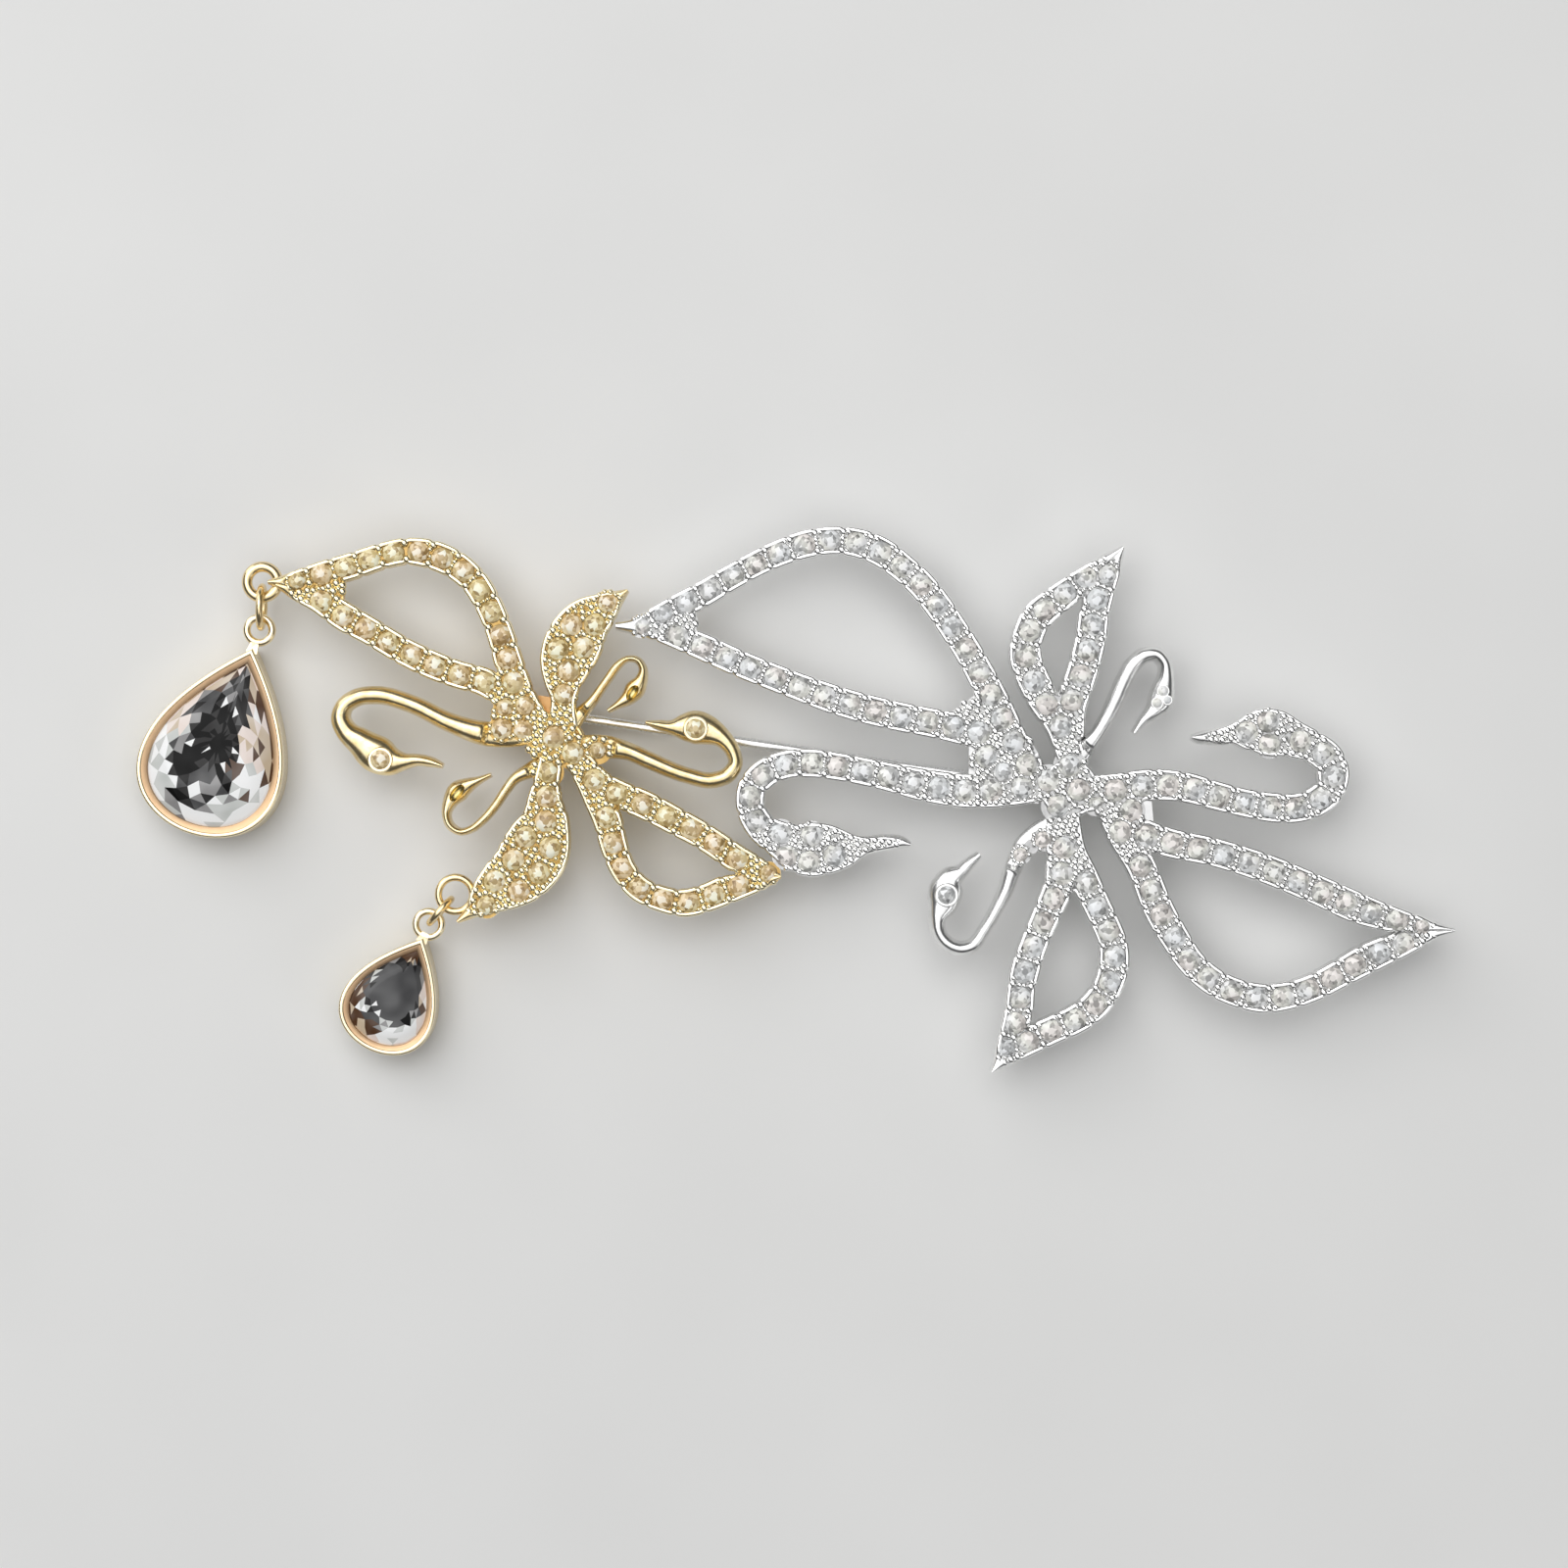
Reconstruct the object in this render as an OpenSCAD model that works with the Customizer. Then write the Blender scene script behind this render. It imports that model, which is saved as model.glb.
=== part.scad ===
// Swan brooch in two finishes, lying face up. A gold cluster and a silver cluster each hold
// four swans round a hub, a swan being a leaf-shaped wing and a hooked neck with head and
// beak. Two pear drops hang from the gold wing tips, and a pin runs behind both clusters.

/* [Frames] */
// Height of the frames' back above the surface that the brooch lies on
back_z = 3.6; // [3.4:0.1:4.2]
// Thickness of the cast frames
plate = 1.6; // [1.4:0.1:2]
// Height that plain necks, heads and beaks stand above the frames
crown = 0.35; // [0.2:0.05:0.6]
// Step in from a neck's edge to its raised crown
crown_step = 0.16; // [0.1:0.02:0.2]
// Radius of the fillets where two limbs meet
fillet = 0.25; // [0.15:0.05:0.35]
// Clearance between neighbouring pieces
gap = 0.06; // [0.04:0.01:0.08]

/* [Stones] */
// Radius of a full-size pave stone
stone_r = 0.79; // [0.6:0.01:0.8]
// Metal left between a stone's seat and the edge of its limb
seat_wall = 0.16; // [0.12:0.01:0.25]
// Depth of a stone below its girdle
pavilion = 0.62; // [0.4:0.01:0.7]
// Height of a stone above its girdle
stone_top = 0.26; // [0.15:0.01:0.35]
// Height of a girdle above the frame's face
girdle_rise = 0.04; // [0:0.01:0.1]

/* [Large drop] */
// Length of the large bezel from tip to round end
large_len = 14.7; // [14.3:0.1:15]
// Width of the large bezel
large_wid = 11; // [10.5:0.1:11.5]
// Middle of the large bezel
large_at = [-43, 4.3];
// Turn of the large drop from straight down
large_turn = -19.5; // [-22:0.5:-17]

/* [Small drop] */
// Length of the small bezel from tip to round end
small_len = 9.35; // [9:0.05:9.6]
// Width of the small bezel
small_wid = 7.3; // [6.8:0.1:7.6]
// Middle of the small bezel
small_at = [-29.86, -14.64];
// Turn of the small drop from straight down
small_turn = -26.5; // [-28:0.5:-25]

/* [Drop fittings] */
// Height of a bezel
bezel_h = 3.6; // [3.4:0.1:4]
// Thickness of a bezel's rim
bezel_rim = 0.38; // [0.3:0.02:0.5]
// Thickness of a bezel's wall under its ledge
bezel_wall = 0.75; // [0.6:0.05:0.9]
// Height of a bezel's ledge, where the crystal's girdle rests
ledge_z = 2.6; // [2.4:0.1:2.8]
// Thickness of a bezel's floor
floor_h = 0.5; // [0.4:0.1:0.8]
// Height of the rings on the wing tips
tip_ring_z = 3.5; // [3.4:0.05:3.6]
// Height of the rings on the drops
drop_ring_z = 3; // [2.9:0.05:3.1]

/* [Pin] */
// Place of the hinge's rivet
hinge_at = [-18.6, 6.4];
// Height of the rivet and of the stem's centreline
pin_z = 1.6; // [1.5:0.05:1.7]
// Turn of the stem from the brooch's length
pin_turn = -8.5; // [-9:0.25:-8]
// Radius of the stem
pin_r = 0.4; // [0.35:0.01:0.45]
// Length of the stem from rivet to point
pin_len = 40.2; // [39:0.1:42]
// Length of the stem's long ground point, the part that the catch takes
point_len = 5.6; // [5.4:0.1:7]
// Distance of the catch's middle from the rivet
catch_x = 36; // [35:0.25:36.5]
// Radius of the rivet
rivet_r = 0.4; // [0.35:0.01:0.5]
// Running clearance of the eye on the rivet
eye_play = 0.05; // [0.02:0.01:0.08]

/* [Hidden] */

// Spline steps between two rows of a table
steps = 4;
face_z = back_z + plate;
seat_depth = pavilion + gap - girdle_rise;
// Facets of a full circle
ROUND = 48;
// Share of a stone's width that its table takes
table_share = 0.56;
// Share of a crystal's size that its table takes, and its clearance inside the rim
crystal_table = 0.62;
crystal_play = 0.1;
// Height of a crystal's table above the rim, and of its girdle's edges above the ledge
table_rise = 0.25;
girdle_low = 0.4;
girdle_high = 0.55;
// A crystal's pavilion: height of its break above the floor, and its share of the outline
// there and at the flat culet
break_rise = 0.75;
break_share = 0.45;
culet_share = 0.05;
// A pear outline's width over that of its formula, and half the angle of its tip
pear_factor = 0.7698;
tip_angle = 44;
// Width of the tab that joins a bezel to its ring
tab = 0.9;
// The stem's shoulder: where it ends, and its radius. Then the radius of the stem's tip.
shoulder_x = 2.2;
shoulder_r = pin_r + 0.18;
point_r = 0.06;
// The stem's eye: its radius, and a width a little over the shoulder's
eye_r = 1;
eye_w = 2 * shoulder_r + 0.04;
// The hinge's cheeks: thickness, and play beside the eye
cheek_w = 0.5;
cheek_play = 0.1;
// Thickness of the base plates, and the fittings' top just under the frames' back
base_h = 0.45;
fitting_top = back_z - gap - pin_z;
// The catch: length, play round the stem, wall, mouth and base plate
catch_len = 2;
catch_play = 0.2;
catch_wall = 0.55;
mouth_w = 2 * pin_r + 0.12;
catch_post_w = 1.4;
catch_base = [3, 2.6];

// Each limb is a table of stations along its middle line. Columns: x, y, width.

// Gold swan on the left: its wing's leading arm over the top, its trailing arm, its neck
GOLD_LEFT_LEAD = [
    [-39.2, 16.1, 0.35], [-37.2, 16.2, 1.5], [-34.8, 16.8, 1.95], [-33.0, 17.3, 2.0],
    [-30.9, 18.0, 1.95], [-29.0, 18.4, 2.0], [-27.0, 18.15, 2.2], [-25.3, 17.4, 2.2],
    [-24.0, 16.3, 2.1], [-22.9, 14.6, 2.05], [-21.9, 12.2, 2.05], [-21.3, 10.2, 2.2],
    [-20.5, 7.8, 2.3], [-19.4, 5.6, 2.3]
];
GOLD_LEFT_TRAIL = [
    [-38.6, 15.9, 0.4], [-37.1, 15.4, 1.4], [-35.5, 14.8, 1.9], [-33.5, 13.5, 2.2],
    [-31.7, 12.5, 2.1], [-29.0, 10.9, 2.1], [-27.0, 9.95, 2.15], [-25.0, 9.2, 2.1],
    [-23.2, 8.7, 2.15], [-21.6, 7.8, 2.3], [-19.9, 6.3, 2.6], [-18.4, 4.4, 2.6]
];
GOLD_LEFT_NECK = [
    [-18.6, 5.2, 1.8], [-20.9, 4.75, 1.85], [-22.9, 4.8, 1.85], [-25.6, 5.6, 1.45],
    [-28.5, 7.0, 1.35], [-31.2, 7.7, 1.35], [-32.7, 7.5, 1.3], [-33.6, 6.85, 1.3],
    [-33.85, 6.0, 1.45], [-33.4, 5.0, 1.65], [-32.4, 4.2, 2.15], [-31.2, 3.3, 2.8],
    [-30.1, 2.8, 2.3], [-29.1, 2.75, 1.3], [-28.2, 2.85, 0.95], [-27.1, 2.7, 0.8],
    [-26.2, 2.4, 0.4]
];

// Gold swan at the top, whose wing is solid, and its thin neck on the right
GOLD_TOP_WING = [
    [-12.4, 15.5, 0.25], [-13.4, 14.8, 1.45], [-14.35, 14.05, 2.7], [-15.4, 13.2, 3.7],
    [-16.4, 11.65, 4.35], [-17.0, 10.1, 4.0], [-17.2, 8.7, 3.0], [-17.2, 7.5, 2.0],
    [-17.3, 5.2, 2.4]
];
GOLD_TOP_NECK = [
    [-16.9, 5.2, 1.5], [-15.95, 6.3, 1.05], [-15.1, 7.2, 0.8], [-14.6, 8.2, 0.65],
    [-14.0, 9.2, 0.6], [-13.3, 10.0, 0.55], [-12.4, 10.4, 0.5], [-11.7, 10.3, 0.55],
    [-11.3, 9.7, 0.65], [-11.4, 8.9, 0.95], [-11.9, 8.1, 1.5], [-12.4, 7.5, 1.15],
    [-13.1, 7.0, 0.65], [-13.9, 6.5, 0.35]
];

// Gold swan on the right
GOLD_RIGHT_LEAD = [
    [-15.9, 2.6, 2.0], [-14.6, 1.1, 2.2], [-13.1, 0.3, 2.15], [-11.4, -0.4, 2.2],
    [-8.5, -1.9, 2.15], [-7.1, -2.65, 2.1], [-5.7, -3.55, 2.1], [-4.3, -4.5, 2.1],
    [-2.7, -5.3, 1.8], [-1.0, -5.8, 0.3]
];
GOLD_RIGHT_TRAIL = [
    [-16.2, 2.9, 2.0], [-15.4, 1.6, 2.1], [-14.6, 0.0, 2.25], [-13.9, -1.7, 2.2],
    [-13.45, -3.5, 2.1], [-12.7, -5.4, 1.95], [-11.6, -6.7, 1.95], [-9.9, -7.5, 1.95],
    [-8.1, -7.8, 2.1], [-6.5, -7.4, 2.15], [-5.0, -6.8, 2.2], [-3.6, -6.4, 1.9],
    [-2.4, -6.15, 1.4], [-1.0, -5.85, 0.3]
];
GOLD_RIGHT_NECK = [
    [-16.5, 3.7, 2.0], [-13.8, 3.8, 1.7], [-12.4, 3.5, 1.35], [-10.9, 2.85, 1.3],
    [-8.0, 1.7, 1.2], [-6.0, 1.35, 1.2], [-4.95, 1.75, 1.2], [-4.4, 2.6, 1.1],
    [-4.6, 3.5, 1.15], [-5.4, 4.5, 1.5], [-6.4, 5.05, 2.2], [-7.4, 5.3, 2.5],
    [-8.3, 5.3, 2.0], [-9.2, 5.3, 1.1], [-10.1, 5.45, 0.8], [-11.1, 5.65, 0.3]
];

// Gold swan at the bottom, whose wing is solid, and its thin neck on the left
GOLD_BOTTOM_WING = [
    [-25.1, -9.2, 0.3], [-24.0, -8.4, 1.2], [-22.9, -7.35, 2.9], [-21.6, -6.4, 4.15],
    [-20.3, -5.4, 4.85], [-19.4, -4.1, 5.15], [-18.9, -2.8, 4.65], [-18.6, -1.6, 3.7],
    [-18.6, 0.0, 2.55], [-18.4, 1.4, 2.0], [-18.0, 3.2, 1.9]
];
GOLD_BOTTOM_NECK = [
    [-18.3, 2.9, 1.2], [-19.8, 2.05, 1.15], [-20.8, 1.5, 0.85], [-21.6, 0.5, 0.75],
    [-22.3, -0.55, 0.7], [-23.2, -1.6, 0.65], [-24.1, -2.3, 0.6], [-24.9, -2.5, 0.6],
    [-25.7, -2.0, 0.65], [-25.95, -1.2, 0.7], [-25.7, -0.3, 1.1], [-25.1, 0.5, 1.6],
    [-24.3, 1.0, 1.1], [-23.5, 1.35, 0.6], [-22.6, 1.75, 0.35]
];

// Silver swan on the left
SILVER_LEFT_LEAD = [
    [-13.3, 12.85, 0.5], [-12.1, 12.95, 0.9], [-10.4, 13.5, 1.5], [-8.8, 14.2, 1.9],
    [-6.9, 15.15, 2.0], [-4.6, 16.5, 1.95], [-1.1, 18.25, 2.05], [1.0, 18.95, 2.15], [3.0, 19.2, 2.15],
    [4.9, 18.95, 2.25], [6.5, 18.3, 2.3], [8.0, 17.2, 2.2], [9.4, 15.95, 2.2],
    [10.5, 14.6, 2.2], [11.8, 12.7, 2.2], [13.0, 10.8, 2.2], [14.2, 8.6, 2.3],
    [15.3, 6.35, 2.4], [16.4, 4.1, 2.3], [17.9, 1.6, 2.3]
];
SILVER_LEFT_TRAIL = [
    [-13.3, 12.8, 0.5], [-12.1, 12.7, 0.9], [-10.4, 12.5, 1.5], [-8.8, 12.05, 1.9],
    [-7.4, 11.5, 2.05], [-4.0, 10.0, 2.1], [0.3, 8.3, 2.15], [2.5, 7.5, 2.25], [4.6, 6.85, 2.3],
    [6.8, 6.3, 2.3], [11.0, 5.45, 2.3], [14.6, 4.6, 2.7], [17.1, 3.3, 2.8]
];
SILVER_LEFT_NECK = [
    [18.2, 1.1, 2.8], [15.3, 0.65, 2.7], [12.7, 0.55, 2.6], [9.45, 1.0, 2.45],
    [6.5, 1.7, 2.2], [3.25, 2.35, 2.15], [1.3, 2.6, 2.2], [-0.8, 2.45, 2.15],
    [-2.3, 1.75, 2.2], [-3.2, 0.6, 2.2], [-3.25, -0.7, 2.2], [-2.6, -2.0, 2.3],
    [-1.1, -3.05, 2.8], [0.7, -3.75, 4.0], [2.5, -3.8, 3.8], [4.0, -3.75, 2.7],
    [5.1, -3.55, 1.5], [6.0, -3.4, 1.3], [7.0, -3.3, 1.2], [8.0, -3.3, 0.95],
    [8.65, -3.45, 0.4]
];

// Silver swan at the top, and its thin neck on the right
SILVER_TOP_LEAD = [
    [24.5, 18.7, 0.3], [23.0, 17.5, 1.2], [21.6, 16.3, 1.9], [19.6, 14.8, 2.25],
    [18.1, 13.5, 2.4], [17.45, 12.2, 2.4], [17.2, 10.7, 2.5], [17.6, 9.3, 2.5],
    [18.5, 7.5, 2.5], [19.7, 5.6, 2.3], [20.6, 3.25, 2.2]
];
SILVER_TOP_TRAIL = [
    [24.5, 18.7, 0.3], [23.8, 17.3, 1.3], [22.9, 15.7, 2.2], [22.35, 13.8, 2.35],
    [22.1, 12.0, 2.4], [21.7, 10.3, 2.4], [21.2, 8.65, 2.4], [20.55, 6.9, 2.5],
    [20.3, 4.7, 2.7]
];
SILVER_TOP_NECK = [
    [21.2, 3.2, 1.8], [22.4, 4.6, 1.05], [23.25, 6.1, 0.95], [23.8, 7.6, 0.95],
    [24.45, 9.0, 0.95], [25.15, 10.0, 1.0], [26.1, 10.7, 1.1], [27.0, 10.75, 1.05],
    [27.6, 10.1, 0.95], [27.7, 9.1, 1.25], [27.5, 8.0, 1.8], [27.3, 7.2, 1.95],
    [26.75, 6.45, 1.3], [26.0, 5.8, 0.75], [25.3, 4.85, 0.4]
];

// Silver swan on the right
SILVER_RIGHT_LEAD = [
    [24.0, -1.5, 2.5], [25.7, -2.55, 2.4], [27.7, -3.25, 2.3], [31.35, -4.05, 2.25],
    [35.0, -5.2, 2.3], [38.65, -6.7, 2.35], [42.3, -8.3, 2.4], [44.5, -9.0, 2.0],
    [46.7, -9.5, 1.4], [49.15, -9.8, 0.3]
];
SILVER_RIGHT_TRAIL = [
    [23.6, -1.0, 2.2], [24.6, -2.9, 2.4], [25.7, -4.8, 2.3], [27.3, -8.6, 2.4],
    [28.4, -10.5, 2.3], [29.5, -12.15, 2.2], [31.1, -13.6, 2.2], [33.0, -14.5, 2.2],
    [35.0, -14.9, 2.25], [36.8, -14.7, 2.15], [38.65, -14.1, 2.1], [40.5, -13.15, 2.15],
    [42.3, -12.15, 2.3], [43.9, -11.4, 2.2], [45.6, -10.7, 1.9], [47.4, -10.15, 1.1],
    [49.15, -9.85, 0.3]
];
SILVER_RIGHT_NECK = [
    [20.8, 0.2, 2.8], [24.05, 0.6, 2.6], [27.0, 1.0, 2.45], [29.2, 0.8, 2.35],
    [31.35, 0.2, 2.25], [33.5, -0.35, 2.2], [35.7, -0.7, 2.3], [37.6, -0.7, 2.25],
    [38.95, -0.2, 2.3], [39.9, 0.7, 2.3], [40.15, 1.8, 2.45], [39.7, 3.0, 2.5],
    [38.65, 3.8, 2.5], [37.2, 4.4, 2.9], [35.8, 4.85, 3.6], [34.6, 4.95, 3.4],
    [33.5, 4.85, 2.5], [32.7, 4.8, 1.6], [31.7, 4.6, 1.35], [30.8, 4.55, 1.1],
    [30.0, 4.5, 0.8], [29.6, 4.55, 0.4]
];

// Silver swan at the bottom, and its thin neck on the left
SILVER_BOTTOM_LEAD = [
    [20.0, -1.5, 2.6], [20.1, -3.7, 2.8], [19.8, -6.2, 2.4], [18.9, -8.4, 2.2],
    [17.8, -11.0, 2.15], [17.2, -12.8, 2.25], [16.9, -14.3, 2.15], [16.75, -15.7, 2.2],
    [16.2, -17.5, 1.9], [15.6, -19.0, 1.4], [14.7, -20.4, 0.3]
];
SILVER_BOTTOM_TRAIL = [
    [20.0, -1.5, 2.6], [20.6, -4.05, 2.4], [21.6, -6.0, 2.3], [22.4, -7.7, 2.2],
    [23.2, -9.4, 2.2], [23.75, -10.9, 2.25], [23.8, -12.4, 2.35], [23.3, -14.1, 2.25],
    [22.25, -15.55, 2.25], [20.9, -16.5, 2.2], [19.45, -17.15, 2.15], [17.6, -18.05, 2.1],
    [16.2, -19.05, 1.5], [14.8, -20.3, 0.3]
];
SILVER_BOTTOM_NECK = [
    [20.3, -1.3, 2.2], [19.3, -2.25, 2.2], [18.2, -2.9, 2.1], [17.3, -3.5, 1.7],
    [16.7, -4.4, 1.45], [16.2, -5.5, 1.3],
    [15.7, -7.0, 1.15], [15.0, -8.4, 1.0], [14.1, -9.9, 0.95], [13.25, -11.0, 1.05],
    [12.4, -11.2, 1.1], [11.4, -10.8, 1.1], [10.8, -10.0, 1.1], [10.7, -9.0, 1.3],
    [11.1, -7.85, 2.3], [11.35, -6.8, 2.55], [11.75, -5.95, 1.9], [12.4, -5.5, 1.15],
    [13.0, -4.9, 0.95], [13.8, -4.2, 0.55]
];

// Hubs, as discs, and the webs that fill the roots of limbs. Hub columns: x, y, radius.
GOLD_HUB = [-17.2, 4.2, 1.65];
SILVER_HUB = [20.5, 0.7, 2.2];
GOLD_WEBS = [
    [[-35.5, 16.2], [-33.6, 16.7], [-33.6, 14.4], [-35.5, 15.2]],
    [[-22.3, 7.2], [-22.4, 5.6], [-21.0, 5.2], [-20.9, 7.2]],
    [[-20.4, 4.6], [-19.6, 3.75], [-19.2, 3.2], [-18.5, 2.6], [-18.0, 4.6]]
];
SILVER_WEBS = [
    [[13.0, 4.2], [18.2, 3.2], [18.2, 1.0], [13.0, 1.3]],
    [[21.9, 0.3], [26.6, 0], [26.8, -2.3], [23.5, -1.8]],
    [[-9.2, 14.0], [-7.3, 14.6], [-7.3, 12.2], [-9.2, 12.4]],
    [[11.2, 6.2], [12.3, 6.75], [13.9, 8.1], [14.9, 5.6]]
];

// Discs round the roots of plain necks, where their raised crowns stop. Columns: x, y, radius.
GOLD_ROOTS = [[-17.2, 4.2, 2.65], [-20.7, 5.1, 2.2], [-14.7, 3.6, 1.1], [-18.35, 1.95, 1.15]];
SILVER_ROOTS = [[20.5, 0.7, 3.2], [18.2, -3.0, 1.8], [16.9, -4.1, 1.1]];

// Rings. Columns: x, y, height, radius of the ring's middle line, radius of its wire.
LARGE_TIP_RING = [-39.8, 16.17, tip_ring_z, 1.15, 0.4];
LARGE_DROP_RING = [-40.08, 12.6, drop_ring_z, 0.95, 0.29];
LARGE_JUMP_RING = [-39.9, 14.3, (tip_ring_z + drop_ring_z) / 2, 1.52, 0.27];
SMALL_TIP_RING = [-25.35, -7.2, tip_ring_z, 1.28, 0.28];
SMALL_DROP_RING = [-27.4, -9.45, drop_ring_z, 0.98, 0.27];
SMALL_JUMP_RING = [-26.5, -8.45, (tip_ring_z + drop_ring_z) / 2, 1.2, 0.26];
// Direction of each jump ring's plane, seen from above
LARGE_JUMP_TURN = -2;
SMALL_JUMP_TURN = -42;

// The curve through a table's rows: cubic spans whose tangents allow for uneven rows
function run(rows, i) = norm([rows[i + 1].x - rows[i].x, rows[i + 1].y - rows[i].y]);
function slope(rows, i) = (rows[i + 1] - rows[i]) / run(rows, i);
function tangent(rows, i) =
    i == 0 ? slope(rows, 0)
    : i == len(rows) - 1 ? slope(rows, i - 1)
    : (slope(rows, i - 1) * run(rows, i) + slope(rows, i) * run(rows, i - 1))
        / (run(rows, i - 1) + run(rows, i));
function station(rows, i, t) =
    (2 * t ^ 3 - 3 * t ^ 2 + 1) * rows[i]
    + (t ^ 3 - 2 * t ^ 2 + t) * run(rows, i) * tangent(rows, i)
    + (3 * t ^ 2 - 2 * t ^ 3) * rows[i + 1]
    + (t ^ 3 - t ^ 2) * run(rows, i) * tangent(rows, i + 1);
function curve(rows) = concat(
    [for (i = [0 : len(rows) - 2], k = [0 : steps - 1]) station(rows, i, k / steps)],
    [rows[len(rows) - 1]]
);

// The two edges of a limb: half its width to either side of the curve
function across(p, i) =
    let (a = p[max(i - 1, 0)], b = p[min(i + 1, len(p) - 1)], d = [b.x - a.x, b.y - a.y])
    [-d.y, d.x] / norm(d);
function edge(p, i, side) = [p[i].x, p[i].y] + across(p, i) * side * p[i][2] / 2;
function outline(p) = concat(
    [for (i = [0 : len(p) - 1]) edge(p, i, 1)],
    [for (i = [len(p) - 1 : -1 : 0]) edge(p, i, -1)]
);

// Distance run along a curve up to each of its points
function distances(p) = [
    for (i = 0, s = 0; i < len(p); i = i + 1, s = i < len(p) ? s + run(p, i - 1) : s) s
];
// A row of stones along a limb, as x, y and radius, from a first distance at a pitch
function row_of(rows, first, pitch, count) =
    let (p = curve(rows), d = distances(p))
    [for (k = [0 : count - 1])
        let (at = [for (c = [0 : 2])
            lookup(first + k * pitch, [for (i = [0 : len(p) - 1]) [d[i], p[i][c]]])])
        [at.x, at.y, min(stone_r, at[2] / 2 - seat_wall)]];

// Stones of each field. Rows follow the limbs. Loose stones' columns: x, y, radius.
GOLD_LEFT_STONES = concat(
    row_of(GOLD_LEFT_LEAD, 2.2, 1.86, 12),
    row_of(GOLD_LEFT_TRAIL, 3.6, 1.95, 8),
    [[-20.9, 8.6, 0.79], [-21.55, 6.75, 0.62], [-20.05, 6.9, 0.68], [-21.8, 5.15, 0.75],
    [-20.2, 5.1, 0.68]]
);
GOLD_TOP_STONES = [
    [-13.9, 14.55, 0.7], [-14.85, 12.9, 0.79], [-16.6, 12.9, 0.79], [-15.7, 11.2, 0.79],
    [-17.6, 11.1, 0.79], [-16.8, 9.5, 0.79], [-17.15, 7.7, 0.75]
];
GOLD_RIGHT_STONES = concat(
    row_of(GOLD_RIGHT_LEAD, 3.6, 2.04, 6),
    row_of(GOLD_RIGHT_TRAIL, 4.9, 1.97, 8),
    [[-1.9, -5.6, 0.62], [-14.9, 1.35, 0.79]]
);
GOLD_BOTTOM_STONES = [
    [-18.4, 0.1, 0.79], [-18.5, -1.75, 0.79], [-20.0, -2.9, 0.79], [-18.2, -3.7, 0.79],
    [-20.9, -4.6, 0.79], [-19.0, -5.6, 0.79], [-22.3, -6.2, 0.79], [-20.5, -6.9, 0.79],
    [-22.9, -8.0, 0.7]
];
GOLD_HUB_STONES = [
    [-17.9, 4.5, 0.79], [-16.5, 3.35, 0.79], [-14.65, 3.55, 0.6], [-18.35, 1.95, 0.75]
];

SILVER_LEFT_STONES = concat(
    row_of(SILVER_LEFT_LEAD, 3.7, 1.95, 20),
    row_of(SILVER_LEFT_TRAIL, 4.7, 1.97, 13),
    [[-11.4, 12.8, 0.6], [14.3, 3.1, 0.79], [15.55, 1.9, 0.7], [16.95, 0.75, 0.79]]
);
SILVER_TOP_STONES = concat(
    row_of(SILVER_TOP_LEAD, 3.6, 1.95, 8),
    row_of(SILVER_TOP_TRAIL, 2.4, 1.95, 6)
);
SILVER_RIGHT_STONES = concat(
    row_of(SILVER_RIGHT_LEAD, 2.6, 1.97, 12),
    row_of(SILVER_RIGHT_TRAIL, 4.6, 1.97, 14),
    [[25.1, -0.9, 0.79], [24.25, -2.5, 0.79]]
);
SILVER_BOTTOM_STONES = concat(
    row_of(SILVER_BOTTOM_LEAD, 2.2, 1.95, 9),
    row_of(SILVER_BOTTOM_TRAIL, 5.2, 1.95, 9),
    [[18.5, -3.1, 0.6], [16.85, -4.2, 0.5]]
);
SILVER_LEFT_NECK_STONES = concat(
    row_of(SILVER_LEFT_NECK, 3.6, 1.93, 12),
    [[-1.0, -2.6, 0.79], [-0.6, -4.3, 0.79], [1.3, -2.75, 0.79], [1.1, -4.75, 0.79],
    [3.0, -4.3, 0.79]]
);
SILVER_RIGHT_NECK_STONES = concat(
    row_of(SILVER_RIGHT_NECK, 3.2, 1.95, 12),
    [[35.3, 5.7, 0.79], [35.4, 4.0, 0.79], [33.7, 4.9, 0.79]]
);
SILVER_HUB_STONES = [
    [20.5, 2.4, 0.79], [18.9, 1.3, 0.79], [21.2, 0.6, 0.79], [19.6, -0.6, 0.79],
    [22.45, -0.4, 0.5]
];

// Stones set flush in the heads
GOLD_LEFT_HEAD = [[-30.8, 2.87, 0.75]];
GOLD_RIGHT_HEAD = [[-7.35, 5.18, 0.75]];
SILVER_LOWER_HEAD = [[11.33, -7.2, 0.7]];
SILVER_UPPER_HEAD = [[27.45, 8.0, 0.34], [26.95, 7.1, 0.32], [27.7, 7.25, 0.26]];
// Hollows in the two small gold heads. Columns: x, y, length, width, turn.
SMALL_HOLLOWS = [[-12.1, 7.75, 1, 0.6, -30], [-25.05, 0.45, 1.1, 0.65, -35]];

// A limb seen from above
module limb(rows) {
    polygon(outline(curve(rows)));
}

// An almond: what two equal discs share
module almond(length, width) {
    r = (length ^ 2 + width ^ 2) / (4 * width);
    intersection() {
        translate([r - width / 2, 0]) circle(r = r, $fn = ROUND);
        translate([width / 2 - r, 0]) circle(r = r, $fn = ROUND);
    }
}

// Joined limbs with their inner corners rounded
module filleted() {
    offset(r = -fillet, $fn = 20) offset(delta = fillet) children();
}

module gold_plain_limbs() {
    limb(GOLD_LEFT_NECK);
    limb(GOLD_RIGHT_NECK);
    limb(GOLD_TOP_NECK);
    limb(GOLD_BOTTOM_NECK);
}

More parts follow.
